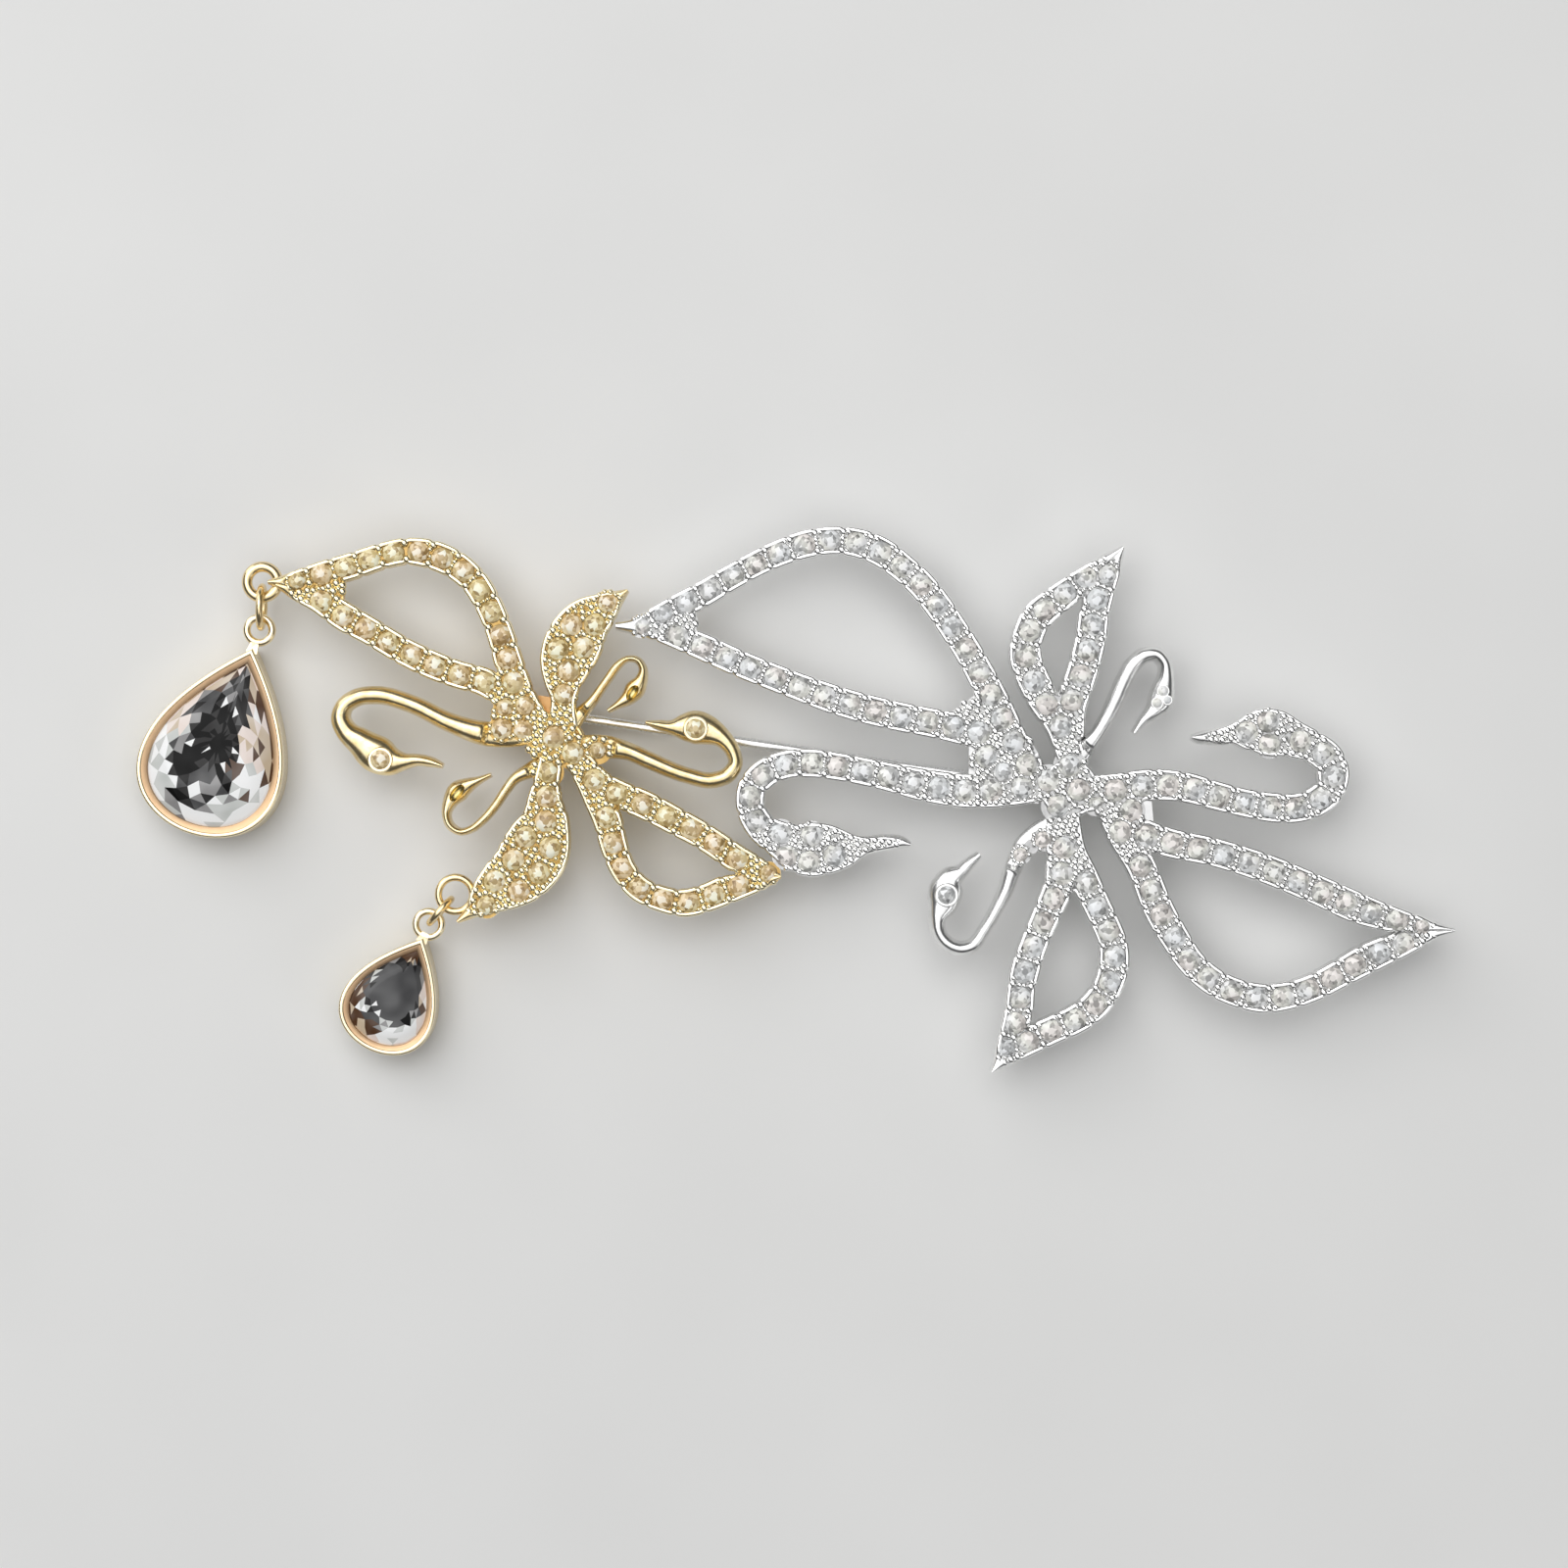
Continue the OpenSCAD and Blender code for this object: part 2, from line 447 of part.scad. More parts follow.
module gold_view() {
    filleted() {
        limb(GOLD_LEFT_LEAD);
        limb(GOLD_LEFT_TRAIL);
        limb(GOLD_TOP_WING);
        limb(GOLD_RIGHT_LEAD);
        limb(GOLD_RIGHT_TRAIL);
        limb(GOLD_BOTTOM_WING);
        gold_plain_limbs();
        for (web = GOLD_WEBS) polygon(web);
        translate([GOLD_HUB.x, GOLD_HUB.y]) circle(r = GOLD_HUB[2], $fn = ROUND);
    }
}

module silver_plain_limbs() {
    limb(SILVER_TOP_NECK);
    limb(SILVER_BOTTOM_NECK);
}

// The silver frame stops a gap short of the gold one where they are soldered together
module silver_view() {
    difference() {
        filleted() {
            limb(SILVER_LEFT_LEAD);
            limb(SILVER_LEFT_TRAIL);
            limb(SILVER_LEFT_NECK);
            limb(SILVER_TOP_LEAD);
            limb(SILVER_TOP_TRAIL);
            limb(SILVER_RIGHT_LEAD);
            limb(SILVER_RIGHT_TRAIL);
            limb(SILVER_RIGHT_NECK);
            limb(SILVER_BOTTOM_LEAD);
            limb(SILVER_BOTTOM_TRAIL);
            silver_plain_limbs();
            for (web = SILVER_WEBS) polygon(web);
            translate([SILVER_HUB.x, SILVER_HUB.y]) circle(r = SILVER_HUB[2], $fn = ROUND);
        }
        offset(delta = gap) gold_view();
    }
}

// A disc a gap wider than each row's radius
module seats(rows) {
    for (s = rows)
        translate([s.x, s.y]) circle(r = s[2] + gap, $fn = ROUND);
}

// A cast frame: a plate whose upper part has blind round seats for the stones
module frame(stones) {
    translate([0, 0, back_z]) linear_extrude(plate - seat_depth) children();
    translate([0, 0, face_z - seat_depth]) linear_extrude(seat_depth) difference() {
        children();
        seats(stones);
    }
}

// A round wire ring lying flat at its place in a table
module flat_ring(ring) {
    translate([ring.x, ring.y, ring.z])
        rotate_extrude($fn = ROUND) translate([ring[3], 0]) circle(r = ring[4], $fn = 24);
}

// A round cut stone: an octagonal table, eight crown facets and eight pavilion facets
module stone(s, z, depth) {
    sides = 8;
    ring = function (r, h) [for (k = [0 : sides - 1])
        [s.x + r * cos((k + 0.5) * 360 / sides), s.y + r * sin((k + 0.5) * 360 / sides), h]];
    points = concat(
        ring(s[2] * table_share, z + stone_top), ring(s[2], z), [[s.x, s.y, z - depth]]
    );
    faces = concat(
        [[for (k = [sides - 1 : -1 : 0]) k]],
        [for (k = [0 : sides - 1])
            [k, (k + 1) % sides, sides + (k + 1) % sides, sides + k]],
        [for (k = [0 : sides - 1]) [sides + k, sides + (k + 1) % sides, 2 * sides]]
    );
    polyhedron(points = points, faces = faces);
}

module stones(list, z = face_z + girdle_rise, depth = pavilion) {
    for (s = list) stone(s, z, depth);
}

module gold_swans() {
    color("gold") {
        frame(concat(GOLD_LEFT_STONES, GOLD_TOP_STONES, GOLD_RIGHT_STONES, GOLD_BOTTOM_STONES,
            GOLD_HUB_STONES, GOLD_LEFT_HEAD, GOLD_RIGHT_HEAD)) gold_view();
        translate([0, 0, face_z]) linear_extrude(crown) difference() {
            offset(delta = -crown_step) gold_plain_limbs();
            seats(GOLD_ROOTS);
            seats(concat(GOLD_LEFT_HEAD, GOLD_RIGHT_HEAD));
            for (h = SMALL_HOLLOWS)
                translate([h.x, h.y]) rotate(h[4]) almond(h[2], h[3]);
        }
        flat_ring(LARGE_TIP_RING);
        flat_ring(SMALL_TIP_RING);
    }
}

module silver_swans() {
    color("silver") {
        frame(concat(SILVER_LEFT_STONES, SILVER_TOP_STONES, SILVER_RIGHT_STONES,
            SILVER_BOTTOM_STONES, SILVER_LEFT_NECK_STONES, SILVER_RIGHT_NECK_STONES,
            SILVER_HUB_STONES, SILVER_LOWER_HEAD, SILVER_UPPER_HEAD)) silver_view();
        translate([0, 0, face_z]) linear_extrude(crown) difference() {
            offset(delta = -crown_step) silver_plain_limbs();
            seats(SILVER_ROOTS);
            seats(concat(SILVER_LOWER_HEAD, SILVER_UPPER_HEAD));
        }
    }
}

module gold_left_wing_stones() { color("wheat") stones(GOLD_LEFT_STONES); }
module gold_top_wing_stones() { color("wheat") stones(GOLD_TOP_STONES); }
module gold_right_wing_stones() { color("wheat") stones(GOLD_RIGHT_STONES); }
module gold_bottom_wing_stones() { color("wheat") stones(GOLD_BOTTOM_STONES); }
module gold_hub_stones() { color("wheat") stones(GOLD_HUB_STONES); }
module silver_left_wing_stones() { color("whitesmoke") stones(SILVER_LEFT_STONES); }
module silver_top_wing_stones() { color("whitesmoke") stones(SILVER_TOP_STONES); }
module silver_right_wing_stones() { color("whitesmoke") stones(SILVER_RIGHT_STONES); }
module silver_bottom_wing_stones() { color("whitesmoke") stones(SILVER_BOTTOM_STONES); }
module silver_left_neck_stones() { color("whitesmoke") stones(SILVER_LEFT_NECK_STONES); }
module silver_right_neck_stones() { color("whitesmoke") stones(SILVER_RIGHT_NECK_STONES); }
module silver_hub_stones() { color("whitesmoke") stones(SILVER_HUB_STONES); }

// Head stones have their girdles at the top of the crown and so reach deeper
module head_stones(list) {
    stones(list, z = face_z + crown + girdle_rise, depth = pavilion + crown);
}
module gold_left_head_stone() { color("wheat") head_stones(GOLD_LEFT_HEAD); }
module gold_right_head_stone() { color("wheat") head_stones(GOLD_RIGHT_HEAD); }
module silver_lower_head_stone() { color("whitesmoke") head_stones(SILVER_LOWER_HEAD); }
module silver_upper_head_stones() { color("whitesmoke") head_stones(SILVER_UPPER_HEAD); }

// A pear outline, tip towards +Y: across, the sine of the angle times the sine of its half,
// and along, its cosine. The factor makes its widest place the stated width.
function pear(length, width, count) = [
    for (k = [0 : count - 1])
        let (t = k * 360 / count)
        [-width / 2 / pear_factor * sin(t) * sin(t / 2), length / 2 * cos(t)]
];

// A bezel: a cup with a ledge for the crystal, and a ring soldered to its tip
module bezel(length, width, at, turn, ring) {
    translate(at) rotate(turn) {
        linear_extrude(floor_h) polygon(pear(length, width, ROUND));
        translate([0, 0, floor_h]) linear_extrude(ledge_z - floor_h) difference() {
            polygon(pear(length, width, ROUND));
            offset(delta = -bezel_wall) polygon(pear(length, width, ROUND));
        }
        translate([0, 0, ledge_z]) linear_extrude(bezel_h - ledge_z) difference() {
            polygon(pear(length, width, ROUND));
            offset(delta = -bezel_rim) polygon(pear(length, width, ROUND));
        }
        translate([-tab / 2, length / 2 - tab / 3, ring.z - ring[4]]) cube([tab, tab, 2 * ring[4]]);
    }
    flat_ring(ring);
}

// A pear-cut crystal: a large table, crown and pavilion facets between like outlines. It lies
// off the bezel's middle, since the rim takes more of the tip than of the round end.
module crystal(length, width, at, turn) {
    sides = 18;
    inset = bezel_rim + crystal_play;
    tip_inset = inset / sin(tip_angle);
    long = length - inset - tip_inset;
    wide = width - 2 * inset;
    layer = function (share, z) [
        for (p = pear(long * share, wide * share, sides)) [p.x, p.y + (inset - tip_inset) / 2, z]
    ];
    points = concat(
        layer(crystal_table, bezel_h + table_rise), layer(1, ledge_z + girdle_high),
        layer(1, ledge_z + girdle_low), layer(break_share, floor_h + break_rise),
        layer(culet_share, floor_h + gap)
    );
    band = function (a) [for (k = [0 : sides - 1])
        [a + k, a + (k + 1) % sides, a + sides + (k + 1) % sides, a + sides + k]];
    faces = concat(
        [[for (k = [sides - 1 : -1 : 0]) k]], band(0), band(sides), band(2 * sides),
        band(3 * sides), [[for (k = [0 : sides - 1]) 4 * sides + k]]
    );
    translate(at) rotate(turn) polyhedron(points = points, faces = faces);
}

module large_bezel() {
    color("gold") bezel(large_len, large_wid, large_at, large_turn, LARGE_DROP_RING);
}
module small_bezel() {
    color("gold") bezel(small_len, small_wid, small_at, small_turn, SMALL_DROP_RING);
}
module large_crystal() { color("lightgray") crystal(large_len, large_wid, large_at, large_turn); }
module small_crystal() { color("lightgray") crystal(small_len, small_wid, small_at, small_turn); }

// A jump ring stands on edge and passes through a tip ring and a drop's ring
module jump_ring(ring, turn) {
    translate([ring.x, ring.y, ring.z]) rotate([0, 90, turn])
        rotate_extrude($fn = ROUND) translate([ring[3], 0]) circle(r = ring[4], $fn = 24);
}
module large_jump_ring() { color("gold") jump_ring(LARGE_JUMP_RING, LARGE_JUMP_TURN); }
module small_jump_ring() { color("gold") jump_ring(SMALL_JUMP_RING, SMALL_JUMP_TURN); }

// The pin's own frame: the rivet at the origin, the stem along +X
module at_pin() {
    translate([hinge_at.x, hinge_at.y, pin_z]) rotate([0, 0, pin_turn]) children();
}

// The hinge: two cheeks under a base plate, with the rivet through them
module pin_hinge() {
    outer = eye_w / 2 + cheek_play + cheek_w;
    color("goldenrod") at_pin() {
        for (side = [-1, 1])
            translate([0, side * (outer - cheek_w / 2), 0]) {
                rotate([90, 0, 0]) cylinder(r = pin_z, h = cheek_w, center = true, $fn = ROUND);
                translate([-pin_z, -cheek_w / 2, 0]) cube([2 * pin_z, cheek_w, fitting_top - base_h]);
            }
        translate([-pin_z, -outer, fitting_top - base_h]) cube([2 * pin_z, 2 * outer, base_h]);
        rotate([90, 0, 0]) cylinder(r = rivet_r, h = 2 * outer - cheek_w, center = true, $fn = ROUND);
    }
}

// The stem: an eye on the rivet, a shoulder, the straight wire and its ground point
module pin_stem() {
    color("lightsteelblue") at_pin() difference() {
        union() {
            rotate([90, 0, 0]) cylinder(r = eye_r, h = eye_w, center = true, $fn = ROUND);
            rotate([0, 90, 0]) cylinder(r = shoulder_r, h = shoulder_x, $fn = ROUND);
            translate([shoulder_x, 0, 0]) rotate([0, 90, 0])
                cylinder(r = pin_r, h = pin_len - point_len - shoulder_x, $fn = ROUND);
            translate([pin_len - point_len, 0, 0]) rotate([0, 90, 0])
                cylinder(r1 = pin_r, r2 = point_r, h = point_len, $fn = ROUND);
        }
        rotate([90, 0, 0]) cylinder(r = rivet_r + eye_play, h = 2 * eye_w, center = true, $fn = ROUND);
    }
}

// The catch: a plain clip with its mouth away from the frames
module pin_catch() {
    bore_r = pin_r + catch_play;
    outer_r = bore_r + catch_wall;
    color("silver") at_pin() translate([catch_x, 0, 0]) difference() {
        union() {
            rotate([0, 90, 0]) cylinder(r = outer_r, h = catch_len, center = true, $fn = ROUND);
            translate([-catch_len / 2, -outer_r, -pin_z]) cube([catch_len, 2 * outer_r, pin_z]);
            translate([-catch_len / 2, -catch_post_w / 2, 0])
                cube([catch_len, catch_post_w, fitting_top]);
            translate([-catch_base.x / 2, -catch_base.y / 2, fitting_top - base_h])
                cube([catch_base.x, catch_base.y, base_h]);
        }
        rotate([0, 90, 0]) cylinder(r = bore_r, h = catch_len + 2, center = true, $fn = ROUND);
        translate([-catch_len, -mouth_w / 2, -pin_z - 1]) cube([2 * catch_len, mouth_w, pin_z + 1]);
    }
}

gold_swans();
silver_swans();
gold_left_wing_stones();
gold_top_wing_stones();
gold_right_wing_stones();
gold_bottom_wing_stones();
gold_hub_stones();
gold_left_head_stone();
gold_right_head_stone();
silver_left_wing_stones();
silver_top_wing_stones();
silver_right_wing_stones();
silver_bottom_wing_stones();
silver_left_neck_stones();
silver_right_neck_stones();
silver_hub_stones();
silver_lower_head_stone();
silver_upper_head_stones();
large_bezel();
large_crystal();
large_jump_ring();
small_bezel();
small_crystal();
small_jump_ring();
pin_hinge();
pin_stem();
pin_catch();
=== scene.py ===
# %% [markdown]
# # A swan brooch in two finishes
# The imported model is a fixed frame: every piece below is worked out in its millimetres and
# laid exactly where the plain solids lie. A CAD node whose shape is right keeps its mesh and
# gets a better finish. A cast frame or a field of stones is replaced by a richer surface.

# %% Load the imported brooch
import bmesh
import bpy
import numpy as np
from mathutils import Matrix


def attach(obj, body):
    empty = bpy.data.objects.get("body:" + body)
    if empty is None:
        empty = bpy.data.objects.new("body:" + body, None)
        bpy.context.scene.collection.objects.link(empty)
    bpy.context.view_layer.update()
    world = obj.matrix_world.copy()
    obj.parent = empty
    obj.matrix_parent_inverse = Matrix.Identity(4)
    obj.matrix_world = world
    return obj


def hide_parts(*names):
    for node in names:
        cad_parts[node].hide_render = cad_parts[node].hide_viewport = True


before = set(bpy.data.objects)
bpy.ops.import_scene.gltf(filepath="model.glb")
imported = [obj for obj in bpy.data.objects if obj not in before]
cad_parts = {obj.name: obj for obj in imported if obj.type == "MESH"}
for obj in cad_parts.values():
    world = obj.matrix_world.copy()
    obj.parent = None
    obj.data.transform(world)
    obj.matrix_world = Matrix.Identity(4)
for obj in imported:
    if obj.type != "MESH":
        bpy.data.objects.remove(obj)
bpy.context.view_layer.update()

MM = 0.001

# %% [markdown]
# ## The limbs as tables
# Each swan is cast as a few limbs: two arms or a leaf for the wing, and a neck that ends in
# the head and beak. A limb is a short table of stations along its middle line, the same
# numbers as in the part's source, so that looks and solids agree. Columns: x, y, width.

# %% Tables of the gold swans
LIMBS = {
    "gold_left_lead": [
        [-39.2, 16.1, 0.35], [-37.2, 16.2, 1.5], [-34.8, 16.8, 1.95], [-33.0, 17.3, 2.0],
        [-30.9, 18.0, 1.95], [-29.0, 18.4, 2.0], [-27.0, 18.15, 2.2], [-25.3, 17.4, 2.2],
        [-24.0, 16.3, 2.1], [-22.9, 14.6, 2.05], [-21.9, 12.2, 2.05], [-21.3, 10.2, 2.2],
        [-20.5, 7.8, 2.3], [-19.4, 5.6, 2.3],
    ],
    "gold_left_trail": [
        [-38.6, 15.9, 0.4], [-37.1, 15.4, 1.4], [-35.5, 14.8, 1.9], [-33.5, 13.5, 2.2],
        [-31.7, 12.5, 2.1], [-29.0, 10.9, 2.1], [-27.0, 9.95, 2.15], [-25.0, 9.2, 2.1],
        [-23.2, 8.7, 2.15], [-21.6, 7.8, 2.3], [-19.9, 6.3, 2.6], [-18.4, 4.4, 2.6],
    ],
    "gold_left_neck": [
        [-18.6, 5.2, 1.8], [-20.9, 4.75, 1.85], [-22.9, 4.8, 1.85], [-25.6, 5.6, 1.45],
        [-28.5, 7.0, 1.35], [-31.2, 7.7, 1.35], [-32.7, 7.5, 1.3], [-33.6, 6.85, 1.3],
        [-33.85, 6.0, 1.45], [-33.4, 5.0, 1.65], [-32.4, 4.2, 2.15], [-31.2, 3.3, 2.8],
        [-30.1, 2.8, 2.3], [-29.1, 2.75, 1.3], [-28.2, 2.85, 0.95], [-27.1, 2.7, 0.8],
        [-26.2, 2.4, 0.4],
    ],
    "gold_top_wing": [
        [-12.4, 15.5, 0.25], [-13.4, 14.8, 1.45], [-14.35, 14.05, 2.7], [-15.4, 13.2, 3.7],
        [-16.4, 11.65, 4.35], [-17.0, 10.1, 4.0], [-17.2, 8.7, 3.0], [-17.2, 7.5, 2.0],
        [-17.3, 5.2, 2.4],
    ],
    "gold_top_neck": [
        [-16.9, 5.2, 1.5], [-15.95, 6.3, 1.05], [-15.1, 7.2, 0.8], [-14.45, 8.12, 0.68],
        [-13.8, 9.05, 0.68], [-13.2, 9.87, 0.64], [-12.4, 10.4, 0.5], [-11.7, 10.3, 0.55],
        [-11.3, 9.7, 0.65], [-11.4, 8.9, 0.95], [-11.9, 8.1, 1.5], [-12.4, 7.5, 1.15],
        [-13.1, 7.0, 0.65], [-13.9, 6.5, 0.35],
    ],
    "gold_right_lead": [
        [-15.9, 2.6, 2.0], [-14.6, 1.1, 2.2], [-13.1, 0.3, 2.15], [-11.4, -0.4, 2.2],
        [-8.5, -1.9, 2.15], [-7.1, -2.65, 2.1], [-5.7, -3.55, 2.1], [-4.3, -4.5, 2.1],
        [-2.7, -5.3, 1.8], [-1.0, -5.8, 0.3],
    ],
    "gold_right_trail": [
        [-16.2, 2.9, 2.0], [-15.4, 1.6, 2.1], [-14.6, 0.0, 2.25], [-13.9, -1.7, 2.2],
        [-13.45, -3.5, 2.1], [-12.7, -5.4, 1.95], [-11.6, -6.7, 1.95], [-9.9, -7.5, 1.95],
        [-8.1, -7.8, 2.1], [-6.5, -7.4, 2.15], [-5.0, -6.8, 2.2], [-3.6, -6.4, 1.9],
        [-2.4, -6.15, 1.4], [-1.0, -5.85, 0.3],
    ],
    "gold_right_neck": [
        [-16.5, 3.7, 2.0], [-13.8, 3.8, 1.7], [-12.4, 3.5, 1.35], [-10.9, 2.85, 1.3],
        [-8.0, 1.7, 1.2], [-6.0, 1.35, 1.2], [-4.95, 1.75, 1.2], [-4.4, 2.6, 1.1],
        [-4.6, 3.5, 1.15], [-5.4, 4.5, 1.5], [-6.4, 5.05, 2.2], [-7.4, 5.3, 2.5],
        [-8.3, 5.3, 2.0], [-9.2, 5.3, 1.1], [-10.1, 5.45, 0.8], [-11.1, 5.65, 0.3],
    ],
    "gold_bottom_wing": [
        [-25.1, -9.2, 0.3], [-24.0, -8.4, 1.2], [-22.9, -7.35, 2.9], [-21.6, -6.4, 4.15],
        [-20.3, -5.4, 4.85], [-19.4, -4.1, 5.15], [-18.9, -2.8, 4.65], [-18.6, -1.6, 3.7],
        [-18.6, 0.0, 2.55], [-18.4, 1.4, 2.0], [-18.0, 3.2, 1.9],
    ],
    "gold_bottom_neck": [
        [-18.3, 2.9, 1.2], [-19.8, 2.05, 1.15], [-20.8, 1.5, 0.85], [-21.6, 0.5, 0.75],
        [-22.3, -0.55, 0.7], [-23.2, -1.6, 0.65], [-24.1, -2.3, 0.6], [-24.9, -2.5, 0.6],
        [-25.7, -2.0, 0.65], [-25.95, -1.2, 0.7], [-25.7, -0.3, 1.1], [-25.1, 0.5, 1.6],
        [-24.3, 1.0, 1.1], [-23.5, 1.35, 0.6], [-22.6, 1.75, 0.35],
    ],
}
print("gold limbs:", {name: len(rows) for name, rows in LIMBS.items()})

# %% Tables of the silver swans
LIMBS |= {
    "silver_left_lead": [
        [-13.3, 12.85, 0.5], [-12.1, 12.95, 0.9], [-10.4, 13.5, 1.5], [-8.8, 14.2, 1.9],
        [-6.9, 15.15, 2.0], [-4.6, 16.5, 1.95], [-1.1, 18.25, 2.05], [1.0, 18.95, 2.15],
        [3.0, 19.2, 2.15], [4.9, 18.95, 2.25], [6.5, 18.3, 2.3], [8.0, 17.2, 2.2],
        [9.4, 15.95, 2.2], [10.5, 14.6, 2.2], [11.8, 12.7, 2.2], [13.0, 10.8, 2.2],
        [14.2, 8.6, 2.3], [15.3, 6.35, 2.4], [16.4, 4.1, 2.3], [17.9, 1.6, 2.3],
    ],
    "silver_left_trail": [
        [-13.3, 12.8, 0.5], [-12.1, 12.7, 0.9], [-10.4, 12.5, 1.5], [-8.8, 12.05, 1.9],
        [-7.4, 11.5, 2.05], [-4.0, 10.0, 2.1], [0.3, 8.3, 2.15], [2.5, 7.5, 2.25],
        [4.6, 6.85, 2.3], [6.8, 6.3, 2.3], [11.0, 5.45, 2.3], [14.6, 4.6, 2.7],
        [17.1, 3.3, 2.8],
    ],
    "silver_left_neck": [
        [18.2, 1.1, 2.8], [15.3, 0.65, 2.7], [12.7, 0.55, 2.6], [9.45, 1.0, 2.45],
        [6.5, 1.7, 2.2], [3.25, 2.35, 2.15], [1.3, 2.6, 2.2], [-0.8, 2.45, 2.15],
        [-2.3, 1.75, 2.2], [-3.2, 0.6, 2.2], [-3.25, -0.7, 2.2], [-2.6, -2.0, 2.3],
        [-1.1, -3.05, 2.8], [0.7, -3.75, 4.0], [2.5, -3.8, 3.8], [4.0, -3.75, 2.7],
        [5.1, -3.55, 1.5], [6.0, -3.4, 1.3], [7.0, -3.3, 1.2], [8.0, -3.3, 0.95],
        [8.65, -3.45, 0.4],
    ],
    "silver_top_lead": [
        [24.5, 18.7, 0.3], [23.0, 17.5, 1.2], [21.6, 16.3, 1.9], [19.6, 14.8, 2.25],
        [18.1, 13.5, 2.4], [17.45, 12.2, 2.4], [17.2, 10.7, 2.5], [17.6, 9.3, 2.5],
        [18.5, 7.5, 2.5], [19.7, 5.6, 2.3], [20.6, 3.25, 2.2],
    ],
    "silver_top_trail": [
        [24.5, 18.7, 0.3], [23.8, 17.3, 1.3], [22.9, 15.7, 2.2], [22.35, 13.8, 2.35],
        [22.1, 12.0, 2.4], [21.7, 10.3, 2.4], [21.2, 8.65, 2.4], [20.55, 6.9, 2.5],
        [20.3, 4.7, 2.7],
    ],
    "silver_top_neck": [
        [21.2, 3.2, 1.8], [22.45, 4.6, 1.15], [23.35, 6.05, 1.15], [24.03, 7.5, 1.25],
        [24.65, 8.9, 1.25], [25.24, 9.92, 1.25], [26.1, 10.65, 1.2], [27.0, 10.72, 1.1],
        [27.6, 10.1, 1.0], [27.7, 9.1, 1.25], [27.5, 8.0, 1.8], [27.3, 7.2, 1.95],
        [26.75, 6.45, 1.3], [26.0, 5.8, 0.75], [25.3, 4.85, 0.4],
    ],
    "silver_right_lead": [
        [24.0, -1.5, 2.5], [25.7, -2.55, 2.4], [27.7, -3.25, 2.3], [31.35, -4.05, 2.25],
        [35.0, -5.2, 2.3], [38.65, -6.7, 2.35], [42.3, -8.3, 2.4], [44.5, -9.0, 2.0],
        [46.7, -9.5, 1.4], [49.15, -9.8, 0.3],
    ],
    "silver_right_trail": [
        [23.6, -1.0, 2.2], [24.6, -2.9, 2.4], [25.7, -4.8, 2.3], [27.3, -8.6, 2.4],
        [28.4, -10.5, 2.3], [29.5, -12.15, 2.2], [31.1, -13.6, 2.2], [33.0, -14.5, 2.2],
        [35.0, -14.9, 2.25], [36.8, -14.7, 2.15], [38.65, -14.1, 2.1], [40.5, -13.15, 2.15],
        [42.3, -12.15, 2.3], [43.9, -11.4, 2.2], [45.6, -10.7, 1.9], [47.4, -10.15, 1.1],
        [49.15, -9.85, 0.3],
    ],
    "silver_right_neck": [
        [20.8, 0.2, 2.8], [24.05, 0.6, 2.6], [27.0, 1.0, 2.45], [29.2, 0.8, 2.35],
        [31.35, 0.2, 2.25], [33.5, -0.35, 2.2], [35.7, -0.7, 2.3], [37.6, -0.7, 2.25],
        [38.95, -0.2, 2.3], [39.9, 0.7, 2.3], [40.15, 1.8, 2.45], [39.7, 3.0, 2.5],
        [38.65, 3.8, 2.5], [37.2, 4.4, 2.9], [35.8, 4.85, 3.6], [34.6, 4.95, 3.4],
        [33.5, 4.85, 2.5], [32.7, 4.8, 1.6], [31.7, 4.6, 1.35], [30.8, 4.55, 1.1],
        [30.0, 4.5, 0.8], [29.6, 4.55, 0.4],
    ],
    "silver_bottom_lead": [
        [20.0, -1.5, 2.6], [20.1, -3.7, 2.8], [19.8, -6.2, 2.4], [18.9, -8.4, 2.2],
        [17.8, -11.0, 2.15], [17.2, -12.8, 2.25], [16.9, -14.3, 2.15], [16.75, -15.7, 2.2],
        [16.2, -17.5, 1.9], [15.6, -19.0, 1.4], [14.7, -20.4, 0.3],
    ],
    "silver_bottom_trail": [
        [20.0, -1.5, 2.6], [20.6, -4.05, 2.4], [21.6, -6.0, 2.3], [22.4, -7.7, 2.2],
        [23.2, -9.4, 2.2], [23.75, -10.9, 2.25], [23.8, -12.4, 2.35], [23.3, -14.1, 2.25],
        [22.25, -15.55, 2.25], [20.9, -16.5, 2.2], [19.45, -17.15, 2.15], [17.6, -18.05, 2.1],
        [16.2, -19.05, 1.5], [14.8, -20.3, 0.3],
    ],
    "silver_bottom_neck": [
        [20.3, -1.3, 2.2], [19.3, -2.25, 2.2], [18.2, -2.9, 2.1], [17.3, -3.5, 1.7],
        [16.7, -4.4, 1.45], [16.2, -5.5, 1.3], [15.7, -7.0, 1.15], [15.0, -8.4, 1.0],
        [14.1, -9.9, 0.95], [13.25, -11.0, 1.05], [12.4, -11.2, 1.1], [11.4, -10.8, 1.1],
        [10.8, -10.0, 1.1], [10.7, -9.0, 1.3], [11.1, -7.85, 2.3], [11.35, -6.8, 2.55],
        [11.75, -5.95, 1.9], [12.4, -5.5, 1.15], [13.0, -4.9, 0.95], [13.8, -4.2, 0.55],
    ],
}
LIMBS = {name: np.array(rows) for name, rows in LIMBS.items()}
